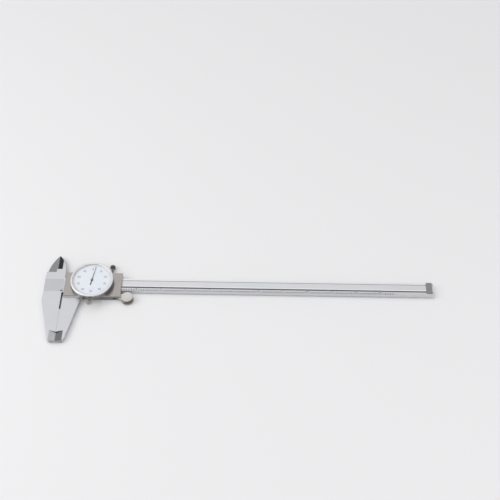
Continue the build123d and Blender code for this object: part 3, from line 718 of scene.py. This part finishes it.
# A darker steel than the other screws.
LOCK_FINISH = Metal("dark_lock_screw", (0.19, 0.185, 0.17), 0.32, Grain.TURNED, relief=0.0)
ROLLER_FINISH = Metal("nickel_roller", (0.68, 0.655, 0.61), 0.28, contrast=0.05, relief=0.006,
                      edge_light=0.1, rings=ROLLER_RINGS)
# Darker tone: painted shade of the lower disc under the upper one, with a strong painted highlight
# on its edges.
LOWER_ROLLER_FINISH = Metal("shaded_roller", (0.44, 0.42, 0.39), 0.3, contrast=0.05,
                            edge_light=0.6, rings=ROLLER_RINGS)
ROD_FINISH = Metal("depth_rod_steel", (0.66, 0.66, 0.66), 0.34)
BRASS_FINISH = Metal("movement_brass", (0.72, 0.52, 0.22), 0.3, Grain.TURNED)
BRONZE_FINISH = Metal("gib_bronze", (0.60, 0.40, 0.22), 0.4)
PINION_FINISH = Metal("pinion_steel", (0.50, 0.50, 0.52), 0.25, Grain.TURNED)
SPRING_FINISH = Metal("blued_spring", (0.16, 0.20, 0.34), 0.3, Grain.TURNED)
DIAL_FINISH = Coating("white_dial", (0.885, 0.915, 0.965), 0.5, tooth=0.003)
SCALE_INK = Coating("engraved_black", (0.03, 0.03, 0.035), 0.6)
DIAL_INK = Coating("dial_black", (0.36, 0.37, 0.42), 0.6)
POINTER_FINISH = Coating("black_pointer", (0.02, 0.02, 0.025), 0.35)
GLASS_FINISH = ClearGlass("clear_crystal", (0.985, 0.99, 0.995), 0.02)


# Meshes


@dataclass
class Mesh:
    """Vertices in millimetres, and faces as rows of vertex numbers, each row padded with -1."""

    points: np.ndarray
    faces: np.ndarray

    @staticmethod
    def joined(parts: list[Mesh]) -> Mesh:
        """All parts as one mesh.

        Args:
            parts: the meshes, whose faces are counted on from the last.

        Returns:
            The joined mesh.
        """
        width = max(part.faces.shape[1] for part in parts)
        starts = np.cumsum([0] + [len(part.points) for part in parts[:-1]])
        faces = []
        for part, start in zip(parts, starts):
            moved = np.where(part.faces >= 0, part.faces + start, -1)
            padding = ((0, 0), (0, width - moved.shape[1]))
            faces.append(np.pad(moved, padding, constant_values=-1))
        return Mesh(np.concatenate([part.points for part in parts]), np.concatenate(faces))


def grid_faces(rows: int, columns: int, wrap_rows: bool, wrap_columns: bool) -> np.ndarray:
    """Quads between neighbours of a grid of vertices.

    Vertex (i, j) has the number i times columns plus j. Quad (i, j) joins it to its
    neighbours to the right, across and above.

    Args:
        rows: rows of vertices.
        columns: vertices in a row.
        wrap_rows: True where the last row joins the first.
        wrap_columns: the same for the columns.

    Returns:
        The quads as rows of vertex numbers.
    """
    i = np.arange(rows if wrap_rows else rows - 1)
    j = np.arange(columns if wrap_columns else columns - 1)
    i, j = (a.ravel() for a in np.meshgrid(i, j, indexing="ij"))
    up, right = (i + 1) % rows, (j + 1) % columns
    corners = [i * columns + j, i * columns + right, up * columns + right, up * columns + j]
    return np.stack(corners, axis=1)


def put_in_scene(name: str, mesh: Mesh, finish: Finish, body: str,
                 closed: bool = True) -> bpy.types.Object:
    """Makes a mesh an object of the scene that rides on a CAD body.

    Args:
        name: the piece's name.
        mesh: its vertices and faces.
        finish: what it is dressed in.
        body: the CAD body that it moves with.
        closed: True for a solid, whose doubles are merged and faces turned outwards.

    Returns:
        The object, at the origin.
    """
    data = bpy.data.meshes.new(name)
    rows = [row[row >= 0].tolist() for row in mesh.faces]
    data.from_pydata((mesh.points * MM).tolist(), [], rows)
    if closed:
        work = bmesh.new()
        work.from_mesh(data)
        bmesh.ops.remove_doubles(work, verts=work.verts, dist=MERGE_DISTANCE)
        bmesh.ops.dissolve_degenerate(work, edges=work.edges, dist=SLIVER_LENGTH)
        bmesh.ops.recalc_face_normals(work, faces=work.faces)
        work.to_mesh(data)
        work.free()
    data.shade_smooth()
    data.set_sharp_from_angle(angle=math.radians(SHARP_ANGLE))
    data.materials.append(finish.material())
    piece = bpy.data.objects.new(name, data)
    bpy.context.scene.collection.objects.link(piece)
    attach(piece, body)
    log.info("%s: %d vertices on body %s", name, len(data.vertices), body)
    return piece


def dress(finish: Finish, *nodes: str) -> None:
    """Gives CAD nodes a finish.

    Args:
        finish: what they are dressed in.
        nodes: the nodes' names.
    """
    for name in nodes:
        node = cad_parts[name]
        node.data.materials.clear()
        node.data.materials.append(finish.material())
        log.info("%s: dressed as %s", name, finish.name)


def rounded(corners: list[tuple[float, float, float]]) -> np.ndarray:
    """Closed profile with its corners rounded.

    A corner with a rounding is replaced by a quadratic curve that leaves one side and joins
    the next at that distance from it: point = (1-t)^2 start + 2 t (1-t) corner + t^2 end.

    Args:
        corners: radius, height and rounding of each corner, in order round the profile. A
            rounding of 0 keeps the corner sharp.

    Returns:
        The profile's points as rows of radius and height.
    """
    table = np.array(corners, float)
    places, roundings = table[:, :2], table[:, 2]
    before, after = np.roll(places, 1, axis=0), np.roll(places, -1, axis=0)
    t = np.linspace(0, 1, CORNER_STEPS + 1)[:, None]
    lines = []
    for corner, back, on, rounding in zip(places, before, after, roundings):
        if rounding <= 0:
            lines.append(corner[None])
            continue
        start = corner + (back - corner) / np.linalg.norm(back - corner) * rounding
        end = corner + (on - corner) / np.linalg.norm(on - corner) * rounding
        lines.append((1 - t) ** 2 * start + 2 * t * (1 - t) * corner + t**2 * end)
    return np.concatenate(lines)


@dataclass(frozen=True)
class Flutes:
    """Knurl or flutes on a turned rim."""

    count: int
    depth: float
    radius: float
    fullness: float = 0.7
    slack: float = 1e-9

    def cut(self, radii: np.ndarray, angles: np.ndarray) -> np.ndarray:
        """Cuts flutes in every point that lies at least at the rim's radius.

        The depth follows half of one plus the cosine of count times the angle, to the power
        of the fullness.

        Args:
            radii: radius of each point.
            angles: its angle round the axis, in radians.

        Returns:
            The radii with the flutes.
        """
        wave = (0.5 + 0.5 * np.cos(self.count * angles)) ** self.fullness
        share = (radii >= self.radius - self.slack).astype(float)
        return radii - self.depth * wave * share


def turned(profile: np.ndarray, centre: Point, axis: Spin = Spin.UP, segments: int = 192,
           flutes: Flutes | None = None) -> Mesh:
    """Solid of revolution.

    Each profile point (r, h) goes to r cos a and r sin a across the axis and h along it,
    for every angle a round the turn.

    Args:
        profile: closed profile as rows of radius and height.
        centre: point of the axis at height 0.
        axis: the axis; on ALONG_Y the height is counted along +Y.
        segments: angles in a turn.
        flutes: flutes on the rim, if any.

    Returns:
        The mesh, closed in both directions.
    """
    angles = np.linspace(0, 2 * np.pi, segments, endpoint=False)
    radii, spread = np.meshgrid(profile[:, 0], angles, indexing="ij")
    along = np.repeat(profile[:, 1:], segments, axis=1)
    if flutes:
        radii = flutes.cut(radii, spread)
    across, up = radii * np.cos(spread), radii * np.sin(spread)
    order = (across, up, along) if axis is Spin.UP else (across, along, up)
    points = np.stack(order, axis=-1).reshape(-1, 3) + np.array(centre)
    return Mesh(points, grid_faces(len(profile), segments, True, True))


def bars(middles: np.ndarray, halves: np.ndarray, turns: np.ndarray, height: float) -> Mesh:
    """Flat printed strokes, as one rectangle for each.

    A corner is the middle plus the half size along and across, turned by the stroke's angle.

    Args:
        middles: X and Y of each stroke's middle.
        halves: half width and half length of each stroke.
        turns: angle of each stroke, in radians.
        height: Z of the print.

    Returns:
        A flat mesh that faces up.
    """
    signs = np.array([(-1, -1), (1, -1), (1, 1), (-1, 1)], float)
    corners = signs[None] * halves[:, None]
    c, s = np.cos(turns)[:, None], np.sin(turns)[:, None]
    x = corners[..., 0] * c - corners[..., 1] * s + middles[:, None, 0]
    y = corners[..., 0] * s + corners[..., 1] * c + middles[:, None, 1]
    points = np.stack([x, y, np.full_like(x, height)], axis=-1).reshape(-1, 3)
    return Mesh(points, np.arange(4 * len(middles)).reshape(-1, 4))


class Numerals:
    """Flat figures for a scale or dial, from Blender's own plain letters."""

    curve_steps = 3

    def __init__(self, weight: float) -> None:
        """Starts with no figure made; weight thickens strokes, as a share of the letters' size."""
        self._weight = weight
        self._made: dict[str, Mesh] = {}

    def figure(self, text: str) -> Mesh:
        """One number as a flat mesh, one unit high and centred on the origin.

        Args:
            text: the number.

        Returns:
            The mesh, made the first time that the number is asked for.
        """
        if text not in self._made:
            curve = bpy.data.curves.new("figure", "FONT")
            curve.body = text
            curve.resolution_u = self.curve_steps
            curve.offset = self._weight
            holder = bpy.data.objects.new("figure", curve)
            bpy.context.scene.collection.objects.link(holder)
            bpy.context.view_layer.update()
            flat = bpy.data.meshes.new_from_object(holder)
            points = np.empty(3 * len(flat.vertices))
            flat.vertices.foreach_get("co", points)
            points = points.reshape(-1, 3)
            low, high = points.min(axis=0), points.max(axis=0)
            points = (points - (low + high) / 2) / (high[1] - low[1])
            flat.calc_loop_triangles()
            faces = np.empty(3 * len(flat.loop_triangles), dtype=int)
            flat.loop_triangles.foreach_get("vertices", faces)
            self._made[text] = Mesh(points, faces.reshape(-1, 3))
            bpy.data.objects.remove(holder)
            bpy.data.curves.remove(curve)
            bpy.data.meshes.remove(flat)
        return self._made[text]

    def printed(self, text: str, place: Point, size: float, width: float) -> Mesh:
        """A number printed with its middle at place; width is a share of the letters' own."""
        shape = self.figure(text)
        return Mesh(shape.points * (size * width, size, 0) + place, shape.faces)


def node_box(name: str) -> tuple[np.ndarray, np.ndarray]:
    """Box of a CAD node at rest.

    Args:
        name: the node's name.

    Returns:
        Its lowest and its highest corner, in millimetres.
    """
    low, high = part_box(name)
    return np.array(low) / MM, np.array(high) / MM


def upright_axis(low: np.ndarray, high: np.ndarray) -> Point:
    """Point at height 0 on the upright line through the middle of a box.

    Args:
        low: the box's lowest corner.
        high: its highest corner.

    Returns:
        The point.
    """
    return (low[0] + high[0]) / 2, (low[1] + high[1]) / 2, 0.0


# Sub-assemblies


@dataclass
class Beam:
    """Beam with the fixed jaw, its rack, end stop, depth rod and engraved inch scale."""

    scale_bottom: float = -8.0
    edge_margin: float = 0.06
    scale_inches: float = 13.5
    tenth_mark: float = 0.6
    inch_mark: float = 1.75
    line_width: float = 0.24
    small_figure: float = 1.3
    small_width: float = 1.5
    large_figure: float = 1.45
    large_width: float = 1.3
    large_figure_y: float = -5.35
    figure_gap: float = 0.08
    figure_weight: float = 0.05
    print_lift: float = 0.012

    def build(self) -> None:
        """Dresses the nodes and prints the scale."""
        dress(BEAM_FINISH, "beam")
        dress(RACK_FINISH, "rack")
        dress(STOP_FINISH, "end_stop", "end_stop_screws")
        dress(SCREW_FINISH, "rack_screw", "depth_rod_screws")
        dress(ROD_FINISH, "depth_rod")
        put_in_scene("inch_scale", self.scale(), SCALE_INK, "beam", closed=False)

    def scale(self) -> Mesh:
        """Lines at every tenth of an inch with small figures, and at every inch with large ones.

        Line n stands n tenths of an inch from the plane where the jaws meet, and its foot
        lies on the strip's lower edge.

        Returns:
            The print as a flat mesh.
        """
        z = node_box("beam")[1][2] + self.print_lift
        numerals = Numerals(self.figure_weight)
        tenths = np.arange(int(self.scale_inches * 10) + 1)
        x = JAW_PLANE + tenths * INCH / 10
        whole = tenths % 10 == 0
        half = np.where(whole, self.inch_mark, self.tenth_mark) / 2
        foot = self.scale_bottom + self.edge_margin
        middles = np.stack([x, foot + half], axis=1)
        halves = np.stack([np.full_like(half, self.line_width / 2), half], axis=1)
        parts = [bars(middles, halves, np.zeros(len(x)), z)]
        small_y = foot + self.tenth_mark + self.figure_gap + self.small_figure / 2
        for tenth in tenths[~whole]:
            place = (x[tenth], small_y, z)
            text = str(tenth % 10)
            parts.append(numerals.printed(text, place, self.small_figure, self.small_width))
        for tenth in tenths[whole][1:]:
            place = (x[tenth], self.large_figure_y, z)
            text = str(tenth // 10)
            parts.append(numerals.printed(text, place, self.large_figure, self.large_width))
        return Mesh.joined(parts)


@dataclass
class Slider:
    """Slider with the movable jaw, plates, gib, lock screw and thumb roller."""

    neck_radius: float = 1.1
    neck_length: float = 13.2
    neck_tip_round: float = 0.2
    neck_top_round: float = 0.3
    head_round: float = 0.5
    dome: float = 1.1
    dome_top: float = 0.62
    dome_round: float = 0.9
    disc_height: float = 1.5
    disc_round: float = 0.35
    shaft_radius: float = 1.5
    shaft_foot_round: float = 0.1
    shaft_top_round: float = 0.2
    press_fit: float = 0.1
    dish_rim: float = 1.2
    dish_depth: float = 0.12
    dish_slope: float = 0.3
    dish_rim_round: float = 0.3
    dish_foot_round: float = 0.2
    roller_flutes: int = 60
    lock_flutes: int = 28
    flute_depth: float = 0.16
    flute_steps: int = 8

    def build(self) -> None:
        """Dresses the nodes and turns the lock screw and the roller."""
        dress(JAW_FINISH, "slider")
        dress(PLATE_FINISH, "front_plate")
        dress(COVER_FINISH, "back_cover")
        dress(SCREW_FINISH, "cover_screws", "gib_screws", "roller_arm_pin")
        dress(BRONZE_FINISH, "gib")
        dress(RACK_FINISH, "roller_arm")
        self.lock_screw()
        self.upper_roller()
        self.lower_roller()

    def lock_screw(self) -> None:
        """Neck, knurled head and dome, turned along Y."""
        low, high = node_box("slide_lock_screw")
        radius = (high[0] - low[0]) / 2
        centre = ((low[0] + high[0]) / 2, low[1], (low[2] + high[2]) / 2)
        head, end = self.neck_length, high[1] - low[1]
        profile = rounded([
            (0, 0, 0),
            (self.neck_radius, 0, self.neck_tip_round),
            (self.neck_radius, head, self.neck_top_round),
            (radius, head, self.head_round),
            (radius, end - self.dome, self.head_round),
            (radius * self.dome_top, end, self.dome_round),
            (0, end, 0),
        ])
        knurl = Flutes(self.lock_flutes, self.flute_depth, radius)
        mesh = turned(profile, centre, Spin.ALONG_Y, self.flute_steps * self.lock_flutes, knurl)
        screw = put_in_scene("lock_screw_turned", mesh, LOCK_FINISH, "lock_screw")
        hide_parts("slide_lock_screw")

    def upper_roller(self) -> None:
        """Upper disc with a shallow dish, on the shaft that goes down through the arm."""
        low, high = node_box("thumb_roller")
        radius, top = (high[0] - low[0]) / 2, high[2]
        base, dish, floor = top - self.disc_height, radius - self.dish_rim, top - self.dish_depth
        profile = rounded([
            (0, low[2], 0),
            (self.shaft_radius, low[2], self.shaft_foot_round),
            (self.shaft_radius, base, self.shaft_top_round),
            (radius, base, self.disc_round),
            (radius, top, self.disc_round),
            (dish, top, self.dish_rim_round),
            (dish - self.dish_slope, floor, self.dish_foot_round),
            (0, floor, 0),
        ])
        mesh = self._fluted(profile, upright_axis(low, high), radius)
        disc = put_in_scene("roller_upper_turned", mesh, ROLLER_FINISH, "roller")
        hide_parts("thumb_roller")

    def lower_roller(self) -> None:
        """Lower disc, pressed on the shaft."""
        low, high = node_box("roller_lower_disc")
        radius, top = (high[0] - low[0]) / 2, high[2]
        bore, dish, floor = (self.shaft_radius - self.press_fit, radius - self.dish_rim,
                             top - self.dish_depth)
        profile = rounded([
            (bore, low[2], 0),
            (radius, low[2], self.disc_round),
            (radius, top, self.disc_round),
            (dish, top, self.dish_rim_round),
            (dish - self.dish_slope, floor, self.dish_foot_round),
            (bore, floor, 0),
        ])
        mesh = self._fluted(profile, upright_axis(low, high), radius)
        disc = put_in_scene("roller_lower_turned", mesh, LOWER_ROLLER_FINISH, "roller")
        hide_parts("roller_lower_disc")

    def _fluted(self, profile: np.ndarray, centre: Point, radius: float) -> Mesh:
        """A disc of the roller, turned from its profile, with flutes on the rim of that radius."""
        flutes = Flutes(self.roller_flutes, self.flute_depth, radius)
        return turned(profile, centre, Spin.UP, self.flute_steps * self.roller_flutes, flutes)


@dataclass
class DialHead:
    """Dial case, bezel, glass, printed dial, pointer and movement."""

    divisions: int = 100
    rim: float = 19.4
    short_mark: float = 1.1
    middle_mark: float = 1.6
    long_mark: float = 2.1
    line_width: float = 0.12
    numeral_ring: float = 14.4
    numeral_size: float = 2.9
    numeral_width: float = 0.86
    numeral_weight: float = 0.015
    dial_turn: float = 1.5
    print_lift: float = 0.015
    bezel_flutes: int = 150
    bezel_flute_depth: float = 0.16
    bezel_flute_steps: int = 6
    bezel_base: float = 11.65
    bezel_base_round: float = 0.2
    bezel_top_round: float = 1.0
    bezel_opening: float = 20.1
    bezel_opening_round: float = 0.55
    skirt_outer: float = 20.95
    skirt_inner: float = 20.35
    ledge_inner: float = 19.8
    ledge_top: float = 11.0
    groove_radius: float = 20.8
    groove_low: float = 12.45
    groove_high: float = 13.15
    glass_play: float = 0.05
    glass_rings: int = 24
    pointer_lean: float = 8.0
    pointer_length: float = 18.5
    pointer_tail: float = 6.6
    pointer_tip_half: float = 0.14
    pointer_root_half: float = 0.38
    pointer_tail_half: float = 0.55
    pointer_tail_steps: int = 12
    pointer_blade_steps: int = 24
    hub_radius: float = 1.4
    hub_round: float = 0.25
    hub_segments: int = 64
    arbor_radius: float = 0.5
    spindle = (0.0, 0.0, 0.0)

    def build(self) -> None:
        """Dresses the nodes, turns bezel and glass, shapes the pointer and prints the dial."""
        dress(CASE_FINISH, "dial_case")
        dress(DIAL_FINISH, "dial_face")
        dress(SCREW_FINISH, "dial_case_screws", "movement_screws")
        dress(CLAMP_FINISH, "bezel_clamp_screw")
        dress(BRASS_FINISH, "movement_plate", "movement_pillars", "transfer_wheel",
              "backlash_wheel")
        dress(PINION_FINISH, "rack_pinion", "centre_pinion", "backlash_arbor")
        dress(SPRING_FINISH, "hairspring")
        self.bezel()
        self.glass()
        self.pointer()
        put_in_scene("dial_print", self.print_marks(), DIAL_INK, "bezel",
                     closed=False)

    def bezel(self) -> None:
        """Ring with a rounded face, a fluted rim, a groove for the glass and a ledged skirt."""
        low, high = node_box("bezel")
        radius, top = (high[0] - low[0]) / 2, high[2]
        profile = rounded([
            (self.ledge_inner, low[2], 0),
            (self.skirt_outer, low[2], 0),
            (self.skirt_outer, self.bezel_base, 0),
            (radius, self.bezel_base, self.bezel_base_round),
            (radius, top, self.bezel_top_round),
            (self.bezel_opening, top, self.bezel_opening_round),
            (self.bezel_opening, self.groove_high, 0),
            (self.groove_radius, self.groove_high, 0),
            (self.groove_radius, self.groove_low, 0),
            (self.skirt_inner, self.groove_low, 0),
            (self.skirt_inner, self.ledge_top, 0),
            (self.ledge_inner, self.ledge_top, 0),
        ])
        flutes = Flutes(self.bezel_flutes, self.bezel_flute_depth, radius)
        segments = self.bezel_flute_steps * self.bezel_flutes
        mesh = turned(profile, self.spindle, Spin.UP, segments, flutes)
        ring = put_in_scene("bezel_turned", mesh, BEZEL_FINISH, "bezel")
        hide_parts("bezel")

    def glass(self) -> None:
        """Clear disc with a low dome.

        The dome's height falls with the square of the radius: h = top - rise (r / edge)^2.
        """
        low, high = node_box("crystal")
        edge = self.bezel_opening - self.glass_play
        rim = self.groove_radius - self.glass_play
        shelf = self.groove_high - self.glass_play
        radii = np.linspace(edge, 0, self.glass_rings)
        dome = np.stack([radii, high[2] - (high[2] - shelf) * (radii / edge) ** 2], axis=1)
        disc = np.array([(0.0, low[2]), (rim, low[2]), (rim, shelf)])
        mesh = turned(np.concatenate([disc, dome]), self.spindle)
        lens = put_in_scene("crystal_domed", mesh, GLASS_FINISH, "bezel")
        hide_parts("crystal")

    def pointer(self) -> None:
        """Tapered blade with a raised spine and a broader tail, on a hub round the arbor."""
        low, high = node_box("pointer")
        hub = turned(
            rounded([
                (self.arbor_radius, low[2], 0),
                (self.hub_radius, low[2], 0),
                (self.hub_radius, high[2], self.hub_round),
                (self.arbor_radius, high[2], 0),
            ]),
            self.spindle, Spin.UP, self.hub_segments,
        )
        mesh = Mesh.joined([self._blade(low[2], (high[2] - low[2]) / 2), hub])
        piece = put_in_scene("pointer_blade", mesh, POINTER_FINISH, "pointer")
        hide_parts("pointer")

    def _blade(self, base: float, height: float) -> Mesh:
        """The pointer's blade and tail.

        Along the blade the half width goes straight from the tail's to the root's and on to
        the tip's. Each cross-section is a low roof: its eaves lie at half the height of its
        spine.

        Args:
            base: Z of the blade's underside.
            height: height of its spine.

        Returns:
            The closed mesh.
        """
        tail = np.linspace(-self.pointer_tail, 0, self.pointer_tail_steps)
        front = np.linspace(0, self.pointer_length, self.pointer_blade_steps)
        along = np.concatenate([tail, front[1:]])
        half = np.interp(along, [-self.pointer_tail, 0, self.pointer_length],
                         [self.pointer_tail_half, self.pointer_root_half, self.pointer_tip_half])
        zero = np.zeros_like(half)
        across = np.stack([-half, -half, zero, half, half], axis=1)
        eaves = zero + height / 2
        rise = np.stack([zero, eaves, zero + height, eaves, zero], axis=1) + base
        columns = across.shape[1]
        run = np.repeat(along[:, None], columns, axis=1)
        turn = math.radians(self.pointer_lean)
        x = across * math.cos(turn) + run * math.sin(turn)
        y = run * math.cos(turn) - across * math.sin(turn)
        points = np.stack([x, y, rise], axis=-1).reshape(-1, 3)
        sides = grid_faces(len(along), columns, False, True)
        ends = np.stack([np.arange(columns), len(points) - 1 - np.arange(columns)])
        return Mesh.joined([Mesh(points, sides), Mesh(points, ends)])

    def print_marks(self) -> Mesh:
        """A hundred radial lines, longer at every fifth and tenth, and ten numerals inside them.

        Line n is turned clockwise by n hundredths of a turn, and its outer end lies on the
        rim. The numerals stand upright on a ring of their own.

        Returns:
            The print as a flat mesh.
        """
        z = node_box("dial_face")[1][2] + self.print_lift
        numerals = Numerals(self.numeral_weight)
        marks = np.arange(self.divisions)
        fifths = np.where(marks % 5 == 0, self.middle_mark, self.short_mark)
        length = np.where(marks % 10 == 0, self.long_mark, fifths)
        turns = math.radians(self.dial_turn) - 2 * np.pi * marks / self.divisions
        middle = self.rim - length / 2
        middles = np.stack([-middle * np.sin(turns), middle * np.cos(turns)], axis=1)
        halves = np.stack([np.full(self.divisions, self.line_width / 2), length / 2], axis=1)
        parts = [bars(middles, halves, turns, z)]
        for mark in range(0, self.divisions, 10):
            x = -self.numeral_ring * math.sin(turns[mark])
            y = self.numeral_ring * math.cos(turns[mark])
            parts.append(numerals.printed(str(mark), (x, y, z), self.numeral_size,
                                          self.numeral_width))
        return Mesh.joined(parts)


# Stage


@dataclass(frozen=True)
class Panel:
    """Soft square lamp that faces its aim; its power is in watts."""

    name: str
    place: Point
    aim: Point
    power: float
    size: float = 700.0

    def hang(self) -> None:
        """Puts the lamp in the scene."""
        lamp = bpy.data.lights.new(self.name, "AREA")
        lamp.energy = self.power
        lamp.size = self.size * MM
        panel = bpy.data.objects.new(self.name, lamp)
        panel.location = Vector(self.place) * MM
        facing = Vector(self.aim) - Vector(self.place)
        panel.rotation_euler = facing.to_track_quat("-Z", "Y").to_euler()
        bpy.context.scene.collection.objects.link(panel)


@dataclass
class Studio:
    """Pale floor, soft light and the camera at the photograph's angle."""

    place: Point = (168.21, -639.30, 822.37)
    turn: Point = (40.14032, -0.39672, 0.85899)
    lens: float = 71.542
    sensor: float = 36.0
    nearest: float = 10.0
    farthest: float = 10000.0
    floor_half: float = 3000.0
    floor_tone: Colour = (0.92, 0.92, 0.925)
    floor_roughness: float = 0.9
    panels: tuple[Panel, ...] = (
        Panel("key_panel", (-850.0, -150.0, 800.0), (60.0, 0.0, 0.0), 3.6),
        Panel("fill_panel", (900.0, -500.0, 700.0), (150.0, 0.0, 0.0), 1.2),
    )
    sky: tuple[tuple[float, float], ...] = (
        (0.0, 0.82), (0.2, 0.80), (0.32, 0.36), (0.50, 0.36), (0.72, 0.97), (1.0, 0.97))
    sky_blue: float = 1.01
    fall_between: tuple[float, float] = (-0.05, 0.35)
    fall_strength: tuple[float, float] = (1.05, 0.80)

    def build(self) -> None:
        """Makes floor, lights, world and camera."""
        self.floor()
        for panel in self.panels:
            panel.hang()
        self.world()
        self.camera()

    def floor(self) -> None:
        """Flat square that the caliper rests on."""
        h = self.floor_half * MM
        data = bpy.data.meshes.new("floor")
        data.from_pydata([(-h, -h, 0), (h, -h, 0), (h, h, 0), (-h, h, 0)], [], [(0, 1, 2, 3)])
        paint = Coating("pale_floor", self.floor_tone, self.floor_roughness, mottle=0.0)
        data.materials.append(paint.material())
        floor = bpy.data.objects.new("floor", data)
        bpy.context.scene.collection.objects.link(floor)

    def world(self) -> None:
        """Pale horizon, a darker band above it and a bright soft ceiling.

        The tone goes by the height of the direction. Towards the beam's free end all of it
        falls off to a lower strength.
        """
        world = bpy.data.worlds.new("studio")
        bpy.context.scene.world = world
        world.use_nodes = True
        tree = world.node_tree
        tree.nodes.clear()
        place = added(tree, "TexCoord")
        split = added(tree, "SeparateXYZ")
        ramp = added(tree, "ValToRGB")
        stops = ramp.color_ramp.elements
        while len(stops) < len(self.sky):
            stops.new(0.5)
        for stop, (height, tone) in zip(stops, self.sky):
            stop.position = height
            stop.color = (tone, tone, tone * self.sky_blue, 1.0)
        fall = added(tree, "MapRange", {
            "From Min": self.fall_between[0],
            "From Max": self.fall_between[1],
            "To Min": self.fall_strength[0],
            "To Max": self.fall_strength[1],
        })
        sky = added(tree, "Background")
        end = added(tree, "OutputWorld")
        link(
            tree,
            (place.outputs["Generated"], split.inputs[0]),
            (split.outputs["X"], fall.inputs["Value"]),
            (split.outputs["Z"], ramp.inputs["Fac"]),
            (fall.outputs["Result"], sky.inputs["Strength"]),
            (ramp.outputs["Color"], sky.inputs["Color"]),
            (sky.outputs["Background"], end.inputs["Surface"]),
        )

    def camera(self) -> None:
        """Camera at the place, turn and lens that the photograph was taken with."""
        lens = bpy.data.cameras.new("camera")
        lens.lens = self.lens
        lens.sensor_width = self.sensor
        lens.clip_start = self.nearest * MM
        lens.clip_end = self.farthest * MM
        camera = bpy.data.objects.new("camera", lens)
        camera.location = Vector(self.place) * MM
        camera.rotation_euler = Euler([math.radians(a) for a in self.turn], "XYZ")
        bpy.context.scene.collection.objects.link(camera)
        bpy.context.scene.camera = camera


def main() -> None:
    """Builds the caliper's looks and the studio."""
    bpy.context.scene.view_settings.view_transform = "Standard"
    for assembly in (Beam(), Slider(), DialHead()):
        assembly.build()
        log.info("%s built", type(assembly).__name__)
    Studio().build()


if __name__ == "__main__":
    main()
